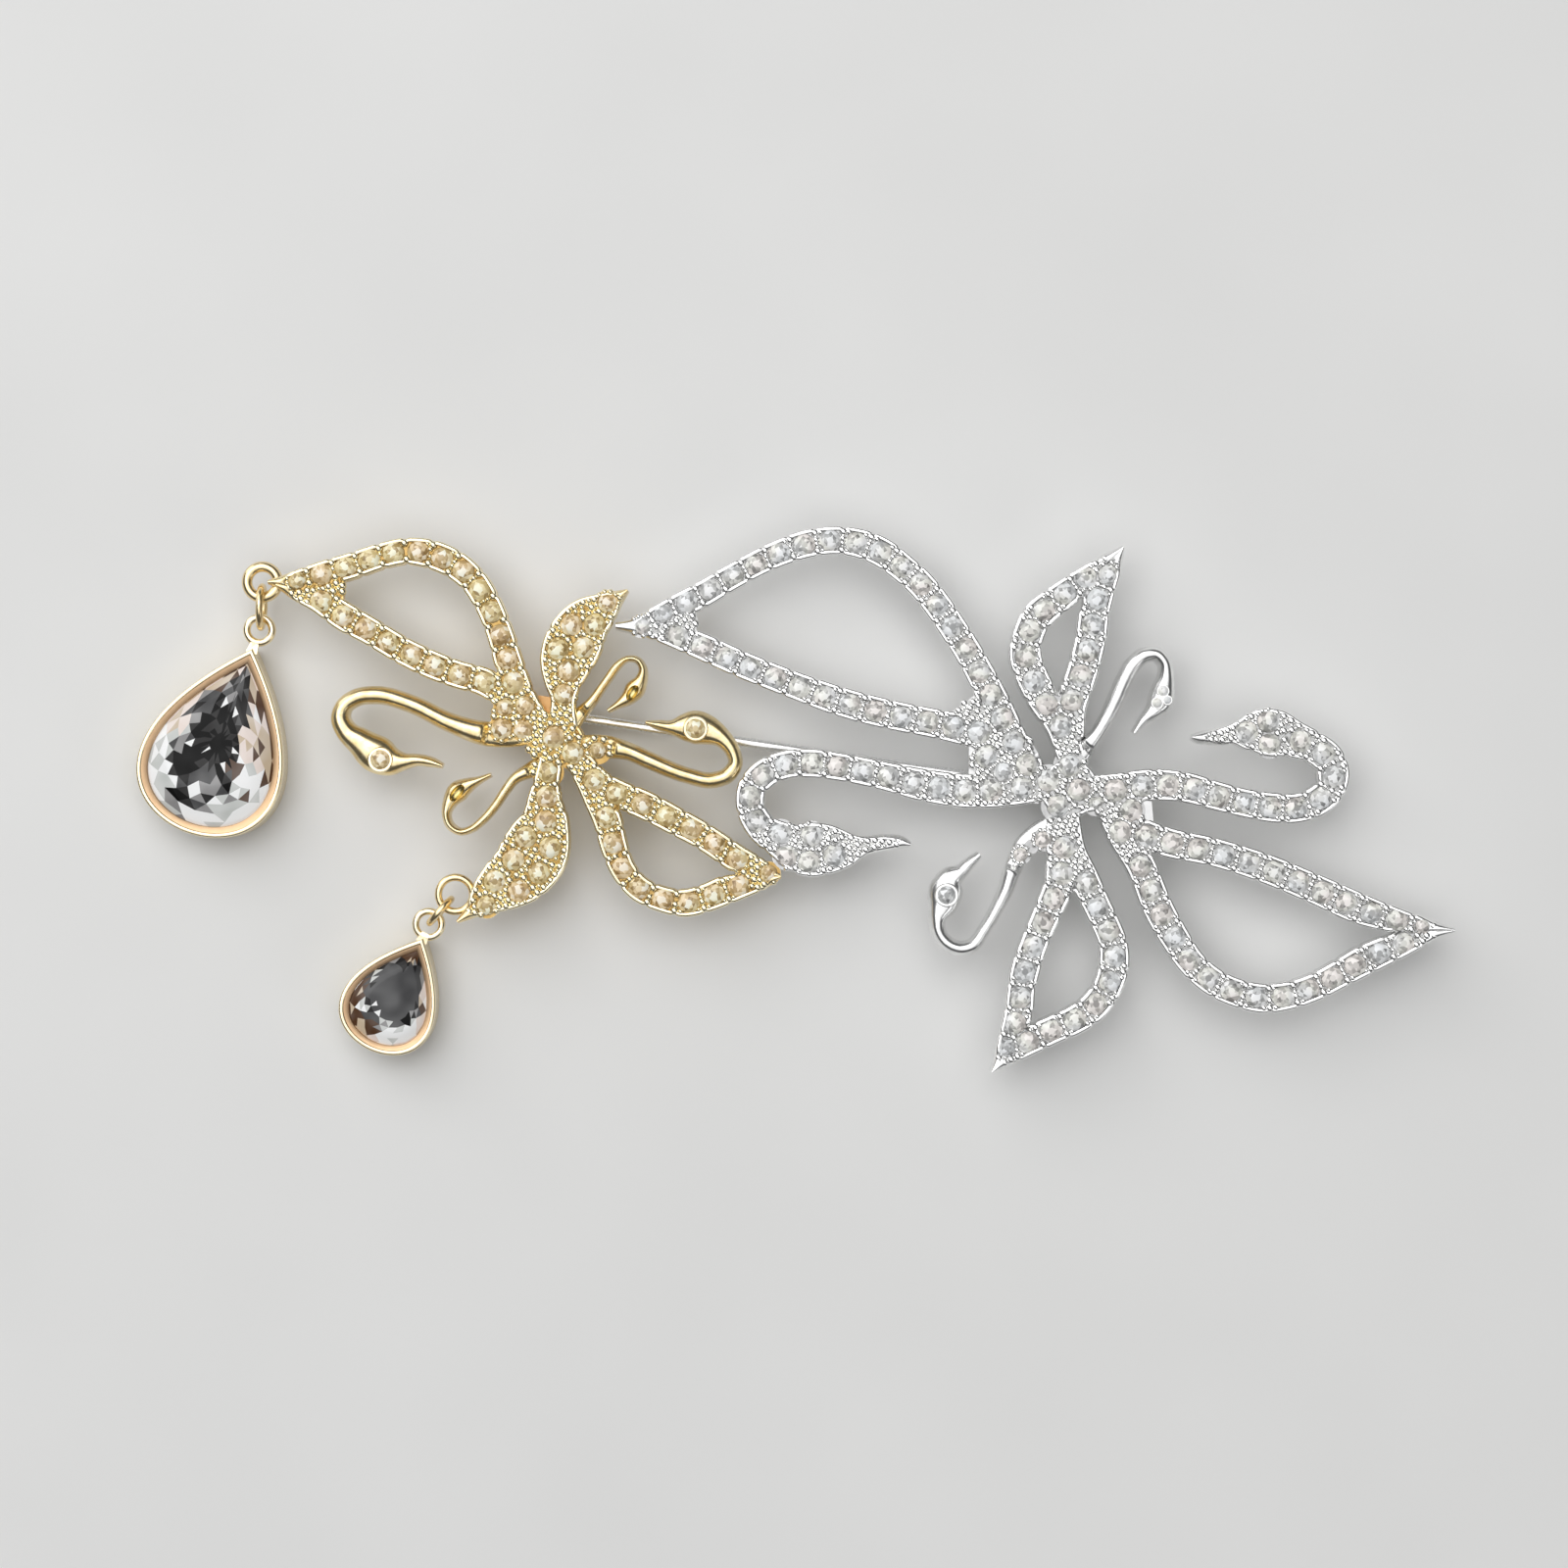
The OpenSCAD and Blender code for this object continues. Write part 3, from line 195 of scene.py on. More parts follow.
# Hubs and the discs at the roots of plain necks. Columns: x, y, radius.
HUBS = {"gold": [-17.2, 4.2, 1.65], "silver": [20.5, 0.7, 2.2]}
ROOTS = {
    "gold": [[-17.2, 4.2, 2.65], [-20.7, 5.1, 2.2], [-14.7, 3.6, 1.1], [-18.35, 1.95, 1.15]],
    "silver": [[20.5, 0.7, 3.2], [18.2, -3.0, 1.8], [16.9, -4.1, 1.1]],
}
WEBS = {
    "gold": [
        [[-35.5, 16.2], [-33.6, 16.7], [-33.6, 14.4], [-35.5, 15.2]],
        [[-22.3, 7.2], [-22.4, 5.6], [-21.0, 5.2], [-20.9, 7.2]],
        [[-20.4, 4.6], [-19.6, 3.75], [-19.2, 3.2], [-18.5, 2.6], [-18.0, 4.6]],
    ],
    "silver": [
        [[13.0, 4.2], [18.2, 3.2], [18.2, 1.0], [13.0, 1.3]],
        [[21.9, 0.3], [26.6, 0], [26.8, -2.3], [23.5, -1.8]],
        [[-9.2, 14.0], [-7.3, 14.6], [-7.3, 12.2], [-9.2, 12.4]],
        [[11.2, 6.2], [12.3, 6.75], [13.9, 8.1], [14.9, 5.6]],
    ],
}
# Discs inside the metal that join the hub to limbs that stop short of it. Columns: x, y, radius.
CORES = {"gold": [], "silver": [[18.75, 1.35, 1.15], [20.5, 2.45, 1.15]]}
print("limbs:", len(LIMBS))

# %% [markdown]
# ## Stones
# The pave stones sit in rows along the limbs, with a few loose ones where limbs meet. A row is
# a limb's name, the distance of its first stone, the pitch and the count. Loose stones are
# given by x, y and radius. The order of the fields is the order in which tones are drawn.

# %% Tables of the stones
ROWS = {
    "gold_left_wing_stones": [["gold_left_lead", 2.2, 1.86, 12], ["gold_left_trail", 3.6, 1.95, 8]],
    "gold_top_wing_stones": [],
    "gold_right_wing_stones": [
        ["gold_right_lead", 3.6, 2.04, 6], ["gold_right_trail", 4.9, 1.97, 8]],
    "gold_bottom_wing_stones": [],
    "gold_hub_stones": [],
    "silver_left_wing_stones": [
        ["silver_left_lead", 3.7, 1.95, 20], ["silver_left_trail", 4.7, 1.97, 13]],
    "silver_top_wing_stones": [
        ["silver_top_lead", 3.6, 1.95, 8], ["silver_top_trail", 2.4, 1.95, 6]],
    "silver_right_wing_stones": [
        ["silver_right_lead", 2.6, 1.97, 12], ["silver_right_trail", 4.6, 1.97, 14]],
    "silver_bottom_wing_stones": [
        ["silver_bottom_lead", 2.2, 1.95, 9], ["silver_bottom_trail", 5.2, 1.95, 9]],
    "silver_left_neck_stones": [["silver_left_neck", 3.6, 1.93, 12]],
    "silver_right_neck_stones": [["silver_right_neck", 3.2, 1.95, 12]],
    "silver_hub_stones": [],
}
LOOSE = {
    "gold_left_wing_stones": [
        [-20.9, 8.6, 0.79], [-21.55, 6.75, 0.62], [-20.05, 6.9, 0.68], [-21.8, 5.15, 0.75],
        [-20.2, 5.1, 0.68]],
    "gold_top_wing_stones": [
        [-13.9, 14.55, 0.7], [-14.85, 12.9, 0.79], [-16.6, 12.9, 0.79], [-15.7, 11.2, 0.79],
        [-17.6, 11.1, 0.79], [-16.8, 9.5, 0.79], [-17.15, 7.7, 0.75]],
    "gold_right_wing_stones": [[-1.9, -5.6, 0.62], [-14.9, 1.35, 0.79]],
    "gold_bottom_wing_stones": [
        [-18.4, 0.1, 0.79], [-18.5, -1.75, 0.79], [-20.0, -2.9, 0.79], [-18.2, -3.7, 0.79],
        [-20.9, -4.6, 0.79], [-19.0, -5.6, 0.79], [-22.3, -6.2, 0.79], [-20.5, -6.9, 0.79],
        [-22.9, -8.0, 0.7]],
    "gold_hub_stones": [
        [-17.9, 4.5, 0.79], [-16.5, 3.35, 0.79], [-14.65, 3.55, 0.6], [-18.35, 1.95, 0.75]],
    "silver_left_wing_stones": [
        [-11.4, 12.8, 0.6], [14.3, 3.1, 0.79], [15.55, 1.9, 0.7], [16.95, 0.75, 0.79]],
    "silver_top_wing_stones": [],
    "silver_right_wing_stones": [[25.1, -0.9, 0.79], [24.25, -2.5, 0.79]],
    "silver_bottom_wing_stones": [[18.5, -3.1, 0.6], [16.85, -4.2, 0.5]],
    "silver_left_neck_stones": [
        [-1.0, -2.6, 0.79], [-0.6, -4.3, 0.79], [1.3, -2.75, 0.79], [1.1, -4.75, 0.79],
        [3.0, -4.3, 0.79]],
    "silver_right_neck_stones": [[35.3, 5.7, 0.79], [35.4, 4.0, 0.79], [33.7, 4.9, 0.79]],
    "silver_hub_stones": [
        [20.5, 2.4, 0.79], [18.9, 1.3, 0.79], [21.2, 0.6, 0.79], [19.6, -0.6, 0.79],
        [22.45, -0.4, 0.5]],
}
HEADS = {
    "gold_left_head_stone": [[-30.8, 2.87, 0.75]],
    "gold_right_head_stone": [[-7.35, 5.18, 0.75]],
    "silver_lower_head_stone": [[11.33, -7.2, 0.7]],
    "silver_upper_head_stones": [[27.42, 7.98, 0.4], [26.98, 7.08, 0.38], [27.74, 7.3, 0.3]],
}
# The largest stone's radius, and the metal left beside a stone in a narrow limb
STONE_R, SEAT_WALL = 0.79, 0.16
print("loose stones:", sum(map(len, LOOSE.values())), "in heads:", sum(map(len, HEADS.values())))

# %% [markdown]
# ## A smooth line through a limb's stations
# A caster would draw the limb with a French curve. Here it is a cubic curve through the rows,
# with tangents that allow for uneven rows, and it is then walked at an even pace so that every
# later profile sits the same distance from the last.

# %% The curve through a table
def limb_curve(rows, steps=4):
    """Cubic spans between rows: each point is a blend of two rows and two tangents, with the
    weights 2t^3-3t^2+1, t^3-2t^2+t, 3t^2-2t^3 and t^3-t^2."""
    run = np.linalg.norm(np.diff(rows[:, :2], axis=0), axis=1)[:, None]
    slope = np.diff(rows, axis=0) / run
    inner = (slope[:-1] * run[1:] + slope[1:] * run[:-1]) / (run[1:] + run[:-1])
    tangent = np.vstack([slope[:1], inner, slope[-1:]])
    t = np.linspace(0, 1, steps, endpoint=False)[None, :, None]
    start, end = rows[:-1, None], rows[1:, None]
    leave, arrive = (run * tangent[:-1])[:, None], (run * tangent[1:])[:, None]
    spans = (
        (2 * t**3 - 3 * t**2 + 1) * start + (t**3 - 2 * t**2 + t) * leave
        + (3 * t**2 - 2 * t**3) * end + (t**3 - t**2) * arrive
    )
    return np.vstack([spans.reshape(-1, rows.shape[1]), rows[-1:]])


def distances(points):
    """Distance run along a line up to each of its points: the running sum of its steps."""
    steps = np.linalg.norm(np.diff(points[:, :2], axis=0), axis=1)
    return np.concatenate([[0], np.cumsum(steps)])


def walk(points, at):
    """The points at the given distances along a line, each column read off by itself."""
    along = distances(points)
    return np.stack([np.interp(at, along, column) for column in points.T], axis=-1)


def stones_of(field):
    """All stones of a field: its rows at an even pitch along their limbs, then loose ones."""
    found = []
    for limb, first, pitch, count in ROWS[field]:
        row = walk(limb_curve(LIMBS[limb]), first + pitch * np.arange(count))
        row[:, 2] = np.minimum(STONE_R, row[:, 2] / 2 - SEAT_WALL)
        found.append(row)
    return np.vstack(found + [np.array(LOOSE[field]).reshape(-1, 3)])


STONES = {field: stones_of(field) for field in ROWS}
print({field: len(stones) for field, stones in STONES.items()})

# %% [markdown]
# ## Surfaces as plain arrays
# A surface is kept as points, face sizes, face corners, a finish number per face and a tone per
# face. Whole arrays are joined, turned right side out and only then handed to Blender.

# %% Circles and bands
def full_turn(count):
    """Angles of evenly spaced points once round."""
    return np.linspace(0, 2 * np.pi, count, endpoint=False)


def stepped_turn(count, phase):
    """Such angles, begun a share of a step further on: (number + phase) 2 pi / count."""
    return (np.arange(count) + phase) * 2 * np.pi / count


def polar(angle, way):
    """Points a way out along an angle: way cos a and way sin a."""
    return np.stack([way * np.cos(angle), way * np.sin(angle)], -1)


def band(low, high, count):
    """Quads between two rings of points, from the numbers of each ring's first point."""
    here = np.arange(count)
    after = (here + 1) % count
    return np.stack([low + here, low + after, high + after, high + here], -1)


print("quads between two rings of three points:", band(0, 3, 3).tolist())


# %% Shells
def make_shell(points, faces, finish=0, tone=0.5):
    """Points and a list of face arrays, each of equal-sized faces, as one closed shell. Its
    volume is a sixth of the sum of a . (b x c) over the fans of its faces, and it is turned
    inside out if that is negative."""
    sizes = np.concatenate([np.full(len(f), f.shape[1]) for f in faces])
    corners = np.concatenate([f.reshape(-1) for f in faces])
    starts = np.repeat(np.cumsum(sizes) - sizes, sizes)
    place = np.arange(len(corners)) - starts
    around = starts + (place + 1) % np.repeat(sizes, sizes)
    a, b, c = points[corners[starts]], points[corners], points[corners[around]]
    if np.einsum("ij,ij->i", a, np.cross(b, c)).sum() < 0:
        corners = corners[starts + np.repeat(sizes, sizes) - 1 - place]
    count = len(sizes)
    return {
        "points": points, "sizes": sizes, "corners": corners,
        "finish": np.broadcast_to(np.asarray(finish), count).astype(int),
        "tone": np.broadcast_to(np.asarray(tone, float), count),
    }


def join(shells):
    """Several shells as one, each one's corners moved on by the points before it."""
    before = np.cumsum([0] + [len(s["points"]) for s in shells[:-1]])
    joined = {k: np.concatenate([s[k] for s in shells]) for k in shells[0] if k != "corners"}
    joined["corners"] = np.concatenate([s["corners"] + n for s, n in zip(shells, before)])
    return joined


def skin(grid, loop=False, finish=0, tone=0.5):
    """A skin over rings of points: each ring is joined to the next with quads. A loop of rings
    closes on itself, and otherwise the first and last rings are capped."""
    count, sides = grid.shape[:2]
    index = np.arange(count * sides).reshape(count, sides)
    here = index if loop else index[:-1]
    there = np.roll(index, -1, 0) if loop else index[1:]
    quads = np.stack([here, there, np.roll(there, -1, 1), np.roll(here, -1, 1)], -1)
    faces = [quads.reshape(-1, 4)]
    if not loop:
        faces += [index[:1], index[-1:, ::-1]]
    return make_shell(grid.reshape(-1, 3), faces, finish, tone)


# %% Objects
def add_object(name, data):
    """A new object with this data, put into the scene."""
    made = bpy.data.objects.new(name, data)
    bpy.context.scene.collection.objects.link(made)
    return made


def to_object(name, shell, finishes):
    """A Blender object from a shell, in metres, with its finishes as material slots and its
    tones as an attribute of the faces."""
    mesh = bpy.data.meshes.new(name)
    mesh.vertices.add(len(shell["points"]))
    mesh.vertices.foreach_set("co", (shell["points"] * MM).astype(np.float32).ravel())
    mesh.loops.add(len(shell["corners"]))
    mesh.loops.foreach_set("vertex_index", shell["corners"].astype(np.int32))
    mesh.polygons.add(len(shell["sizes"]))
    starts = np.cumsum(shell["sizes"]) - shell["sizes"]
    mesh.polygons.foreach_set("loop_start", starts.astype(np.int32))
    mesh.polygons.foreach_set("material_index", shell["finish"].astype(np.int32))
    mesh.update(calc_edges=True)
    mesh.attributes.new("tone", "FLOAT", "FACE").data.foreach_set(
        "value", shell["tone"].astype(np.float32))
    for finish in finishes:
        mesh.materials.append(finish)
    return add_object(name, mesh)


# %% [markdown]
# ## Fusing shells into one body
# Solder joins limbs, rings, beads and stones into one thing. Overlapping closed shells are
# united with Blender's Boolean modifier and its Manifold solver, which is quick, keeps each
# face's finish and leaves no face inside the body. Where two shells only just graze each other
# it can leave a crumb of a few faces, which is swept away as filings are.

# %% Union
# The fewest vertices that a part has which is more than a crumb
CRUMB = 12


def parts_of(mesh):
    """Which loose part each vertex belongs to: every vertex takes the lowest number that its
    edges lead to, over and over, until none changes."""
    ends = np.zeros(len(mesh.edges) * 2, np.int32)
    mesh.edges.foreach_get("vertices", ends)
    start, end = ends.reshape(-1, 2).T
    part = np.arange(len(mesh.vertices))
    while True:
        lowest = part.copy()
        np.minimum.at(lowest, start, part[end])
        np.minimum.at(lowest, end, part[start])
        lowest = lowest[lowest]
        if (lowest == part).all():
            return part
        part = lowest


def sweep_crumbs(mesh):
    """Deletes loose parts with fewer vertices than a crumb may have, and counts those left."""
    part = parts_of(mesh)
    count = np.bincount(part)
    crumbs = np.flatnonzero(count[part] < CRUMB)
    if len(crumbs):
        body = bmesh.new()
        body.from_mesh(mesh)
        body.verts.ensure_lookup_table()
        bmesh.ops.delete(body, geom=[body.verts[number] for number in crumbs], context="VERTS")
        body.to_mesh(mesh)
        body.free()
    return int((count >= CRUMB).sum())


def fuse(name, shells, finishes, flat=(), sharp_angle=40, cuts=()):
    """One body from closed shells that overlap, less the shells in cuts. The faces of the
    finishes in flat stay flat, as facets do, and the others are smooth up to the sharp angle."""
    first, *others = [to_object(name, shell, finishes) for shell in [*shells, *cuts]]
    for place, other in enumerate(others, 1):
        step = first.modifiers.new("step", "BOOLEAN")
        step.operation = "UNION" if place < len(shells) else "DIFFERENCE"
        step.solver, step.material_mode, step.object = "MANIFOLD", "INDEX", other
    bpy.context.view_layer.update()
    graph = bpy.context.evaluated_depsgraph_get()
    mesh = bpy.data.meshes.new_from_object(first.evaluated_get(graph), depsgraph=graph)
    first.modifiers.clear()
    first.data = mesh
    for other in others:
        bpy.data.objects.remove(other)
    bodies = sweep_crumbs(mesh)
    finish = np.zeros(len(mesh.polygons), np.int32)
    mesh.polygons.foreach_get("material_index", finish)
    mesh.polygons.foreach_set("use_smooth", ~np.isin(finish, flat))
    mesh.set_sharp_from_angle(angle=np.radians(sharp_angle))
    mesh.name = first.name
    return first


def stand_for(made, node):
    """Lets a new piece ride on the brooch in the place of a CAD node."""
    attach(made, "brooch")
    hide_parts(node)


# %% [markdown]
# ## The cross-section of a limb
# A pave limb is a shallow trough: a flat back, upright walls, a rounded rim along each edge and
# a bed between them that the stones sit in. Where the limb gets narrower than a stone, as at
# the wing tips, beaks and plain necks, it is half round instead. Both sections have the same
# number of points, so one blends into the other along the limb.

# %% Sections
BACK_Z = 3.6
BED_Z = 5.0
# Half a pave section from the edge inwards: way in, its largest share of the half width, height
PAVE_HALF = np.array([
    [0.00, 0.00, 5.10], [0.03, 0.06, 5.23], [0.08, 0.18, 5.31], [0.19, 0.38, 5.34],
    [0.29, 0.57, 5.31], [0.34, 0.72, 5.16], [0.36, 0.80, 5.00],
])
# How high the rim stands over the bed
RIM_HIGH = 0.34
# Half a plain section, as shares of the half width. Its height follows sqrt(1 - share^2.6).
PLAIN_HALF = np.array([1.0, 0.97, 0.88, 0.74, 0.55, 0.33, 0.1])
PLAIN_POWER = 2.6
PLAIN_FOOT, PLAIN_TOP, TIP_TOP = 4.45, 5.52, 5.42
# Half widths between which a limb goes over from the half round section to the trough
NARROW, WIDE = 0.45, 0.8
# The back's edge is eased: how high up, how far in as a share of the half width, and at most
FOOT_HIGH, FOOT_SHARE, FOOT_MOST = 0.12, 0.06, 0.06
# A notch: way in, way down, how wide it is, how near a stone it lies, its share on the wall
NOTCH_IN, NOTCH_DOWN, NOTCH_WIDTH, NOTCH_REACH, NOTCH_WALL = 0.13, 0.08, 0.2, 1, 0.8
# Depths in the other metal between which a rim, and a plain neck's top, sink into the bed
RIM_SINKS, NECK_SINKS, SUNK = (0.0, 0.3), (-0.5, 0.1), 0.05
# Way between two sections, steps of the curve in a span, and what is left off at each end
STEP, FINE, END_GAP = 0.13, 8, 0.01
# How much painted light each face of a half section gets, from the back's corner to the bed in
# the middle: painted shade in the bed, painted highlight on the rim
BED_PAINTED_SHADE, WALL_TONE, PLAIN_TONE = 0.1, 0.7, 0.66
SECTION_PAINTED_LIGHT = np.array([0.5, 0.6, 1.0, 1.0, 1.0, 1.0, 0.3, 0.1])
print("a limb is", round(PAVE_HALF[:, 2].max() - BACK_Z, 2), "thick at its rim")


# %% Paths
def blend_between(x, low, high):
    """0 below low, 1 above high and 3t^2-2t^3 between."""
    t = np.clip((x - low) / (high - low), 0, 1)
    return t * t * (3 - 2 * t)


def depth_in(points, discs):
    """How deep points lie in a union of discs: the largest radius less distance."""
    away = np.linalg.norm(points[:, None] - discs[None, :, :2], axis=2)
    return (discs[:, 2] - away).max(axis=1)


def even_walk(rows):
    """A limb's curve at even steps, with its half width in place of its width."""
    curve = limb_curve(rows, FINE)
    length = distances(curve)[-1]
    path = walk(curve, np.linspace(END_GAP, length - END_GAP, int(length / STEP)))
    path[:, 2] /= 2
    return path


PATHS = {name: even_walk(rows) for name, rows in LIMBS.items()}
PLAIN = {name for name in LIMBS if name.endswith("neck")} - {"silver_left_neck", "silver_right_neck"}
# Discs that stand for the webs at the roots of limbs. Columns: x, y, radius.
FILLS = {
    "gold": [[-34.5, 15.6, 1.1], [-21.6, 6.3, 1.0], [-19.2, 3.8, 0.8]],
    "silver": [
        [14.2, 2.7, 1.2], [16.8, 2.1, 1.2], [24.6, -1.0, 1.5], [-8.2, 13.2, 1.1], [13.1, 6.3, 1.1]],
}
print("path points:", sum(len(p) for p in PATHS.values()), "plain:", sorted(PLAIN))


# %% [markdown]
# ## Sweeping a limb
# The rim is not one even wire. Each stone's seat was cut with a round graver, so the rim is a
# row of short arcs that meet in small notches midway between stones. A notch lies where an edge
# is as near to one stone as to the next, so it is worked out from the two nearest stones. Where
# an edge runs inside another limb or the hub, its rim sinks into the bed.

# %% Limb sweep
def notch_at(points, stones):
    """1 where the two nearest stones are equally near, falling as exp(-(difference/width)^2)."""
    away = np.linalg.norm(points[:, None] - stones[None, :, :2], axis=2) - stones[:, 2]
    near = np.sort(away, axis=1)[:, :2]
    even = np.exp(-(((near[:, 1] - near[:, 0]) / NOTCH_WIDTH) ** 2))
    return even * (near[:, 0] < NOTCH_REACH)


def sideways(path):
    """The direction to the left of a path at each of its points: its step, a quarter turn on."""
    ahead = np.gradient(path[:, :2], axis=0)
    return np.stack([-ahead[:, 1], ahead[:, 0]], -1) / np.linalg.norm(ahead, axis=1)[:, None]


def metal_discs(metal, without=()):
    """Discs that fill a casting's outline: each step of its limbs, its hub and its webs, except
    for limbs, or the hub, that are named in without."""
    limbs = [path for name, path in PATHS.items() if name.startswith(metal) and name not in without]
    hub = [] if "hub" in without else [[HUBS[metal]]]
    return np.vstack([*limbs, *hub, FILLS[metal]])


def half_section(path, side, sign, others, stones, plain, roots):
    """Ways out from the middle line, heights and tones of one half of every section: the pave
    and the plain half, blended by how narrow the limb is."""
    half = path[:, 2:3]
    edge = path[:, :2] + sign * side * half
    rim = 1 - blend_between(depth_in(edge, others), *RIM_SINKS)[:, None]
    notch = notch_at(edge, stones)[:, None] * rim
    cut = NOTCH_IN * notch
    out = half - np.minimum(PAVE_HALF[:, 0], PAVE_HALF[:, 1] * half) - cut
    high = BED_Z + (PAVE_HALF[:, 2] - BED_Z) * rim * (1 - notch * NOTCH_DOWN / RIM_HIGH)
    top = PLAIN_TOP if plain else TIP_TOP
    if plain:
        sunk = blend_between(depth_in(path[:, :2], roots), *NECK_SINKS)[:, None]
        top = top + (BED_Z - SUNK - top) * sunk
    foot = np.minimum(PLAIN_FOOT, top)
    plain_high = foot + (top - foot) * np.sqrt(1 - PLAIN_HALF**PLAIN_POWER)
    share = half * 0 + 1 if plain else 1 - blend_between(half, NARROW, WIDE)
    out = out + (half * PLAIN_HALF - out) * share
    high = high + (plain_high - high) * share
    foot_in = np.minimum(half * FOOT_SHARE, FOOT_MOST)
    out = np.hstack([half - foot_in - cut, half - cut * NOTCH_WALL, out])
    high = np.hstack([half * 0 + BACK_Z, half * 0 + BACK_Z + FOOT_HIGH, high])
    # Painted shade in the bed and where a rim sinks into other metal, painted highlight on the rim
    tone = np.hstack([rim * 0 + SECTION_PAINTED_LIGHT[:2], BED_PAINTED_SHADE + (SECTION_PAINTED_LIGHT[2:] - BED_PAINTED_SHADE) * rim])
    return out, high, tone + (PLAIN_TONE - tone) * share, share


def limb_skin(limb, metal, stones):
    """A limb's closed skin: at each step of its path the section, from the back's left corner
    up over the top to the back's right corner."""
    path = PATHS[limb]
    side = sideways(path)
    others = metal_discs(metal, PLAIN | {limb})
    roots = np.array(ROOTS[metal])
    rows, tones = [], []
    for sign in (1, -1):
        out, high, tone, share = half_section(
            path, side, sign, others, stones, limb in PLAIN, roots)
        flat = path[:, None, :2] + sign * side[:, None] * out[..., None]
        rows.append(np.concatenate([flat, high[..., None]], axis=2))
        tones.append(tone)
    # The bed's painted shade, or a plain neck's tone where the limb is plain
    bed = BED_PAINTED_SHADE + (PLAIN_TONE - BED_PAINTED_SHADE) * share
    tone = np.hstack([tones[0], bed, tones[1][:, ::-1], 0 * bed + WALL_TONE])[:-1]
    grid = np.concatenate([rows[0], rows[1][:, ::-1]], axis=1)
    return skin(grid, tone=np.concatenate([tone.ravel(), [WALL_TONE, WALL_TONE]]))


# %% [markdown]
# ## Hubs, webs and rings
# The hub is a round disc of the same trough section, turned like a coin. Webs fill the sharp
# corners at the roots, as solder does. A ring is a wire carried round a circle.

# %% Round parts
# Points round the hub, how far in its foot starts, and its painted light and shade as a share of a
# limb's
HUB_SIDES, HUB_FOOT, HUB_PAINTED_LIGHT = 64, 0.1, 0.6
# Steps round a ring and sides of its wire
RING_STEPS, WIRE_SIDES = 56, 14


def hub_skin(metal):
    """The half section carried round the hub: each of its points is a circle, from the back's
    rim up and in to the bed."""
    x, y, radius = HUBS[metal]
    around = polar(full_turn(HUB_SIDES), 1.0)
    deep = depth_in(around * radius + [x, y], metal_discs(metal, ["hub"]))
    rim = 1 - blend_between(deep, *RIM_SINKS)
    ways = np.concatenate([[HUB_FOOT, 0.0], PAVE_HALF[:, 0]])
    foot = np.full((2, HUB_SIDES), BACK_Z) + [[0], [FOOT_HIGH]]
    levels = np.vstack([foot, BED_Z + (PAVE_HALF[:, 2:] - BED_Z) * rim])
    flat = around[None] * (radius - ways)[:, None, None] + [x, y]
    # Painted light on the hub: a limb's painted shade and highlight, dimmed
    tone = np.repeat(SECTION_PAINTED_LIGHT * HUB_PAINTED_LIGHT, HUB_SIDES)
    tone = np.concatenate([tone, [WALL_TONE, BED_PAINTED_SHADE]])
    return skin(np.concatenate([flat, levels[..., None]], axis=2), tone=tone)


def prism(outline, low, high, tone=BED_PAINTED_SHADE):
    """Two copies of an outline, one above the other."""
    outline = np.array(outline, float)
    return skin(np.stack([np.insert(outline, 2, z, axis=1) for z in (low, high)]), tone=tone)


def disc(x, y, radius, low, high, sides=24, tone=BED_PAINTED_SHADE):
    """A short round post, as a prism on a circle."""
    return prism(polar(full_turn(sides), radius) + [x, y], low, high, tone)


def carried_round(x, y, section, steps, **look):
    """A closed section, of ways out w and heights h, carried round an upright line: each of its
    points goes to x + w cos a, y + w sin a, h."""
    flat = polar(full_turn(steps)[:, None], section[:, 0]) + [x, y]
    high = np.broadcast_to(section[:, 1:], (*flat.shape[:2], 1))
    return skin(np.concatenate([flat, high], axis=2), loop=True, **look)


def wire_ring(x, y, z, radius, wire, finish=0):
    """A wire's circle carried round a larger one: radius + wire cos b out, z + wire sin b up."""
    section = polar(full_turn(WIRE_SIDES), wire) + [radius, z]
    return carried_round(x, y, section, RING_STEPS, finish=finish, tone=WALL_TONE)


# Rings. Columns: x, y, height, radius of the ring's middle line, radius of its wire.
LARGE_TIP_RING = [-39.8, 16.17, 3.5, 1.15, 0.4]
SMALL_TIP_RING = [-25.35, -7.2, 3.5, 1.28, 0.28]
LARGE_DROP_RING = [-40.08, 12.6, 3.0, 0.95, 0.29]
SMALL_DROP_RING = [-27.4, -9.45, 3.0, 0.98, 0.27]
print("discs of metal:", {metal: len(metal_discs(metal)) for metal in HUBS})

# %% [markdown]
# ## Finishes as expressions
# A finish is a small program of nodes. One class wraps a socket, so that sums and products of
# sockets and numbers write their own Math nodes, and one method makes every other node.

# %% Shader helpers
class Wire:
    """A socket whose sums, differences and products are Math nodes."""

    def __init__(self, finish, socket):
        self.finish, self.socket = finish, socket

    def math(self, operation, first, second):
        """The result of a new Math node on two sockets or numbers."""
        made = self.finish.node("Math", {"operation": operation}, {0: first, 1: second})
        return Wire(self.finish, made.outputs[0])

    def __add__(self, other):
        return self.math("ADD", self, other)

    def __sub__(self, other):
        return self.math("SUBTRACT", self, other)

    def __rsub__(self, other):
        return self.math("SUBTRACT", other, self)

    def __mul__(self, other):
        return self.math("MULTIPLY", self, other)

    __radd__, __rmul__ = __add__, __mul__


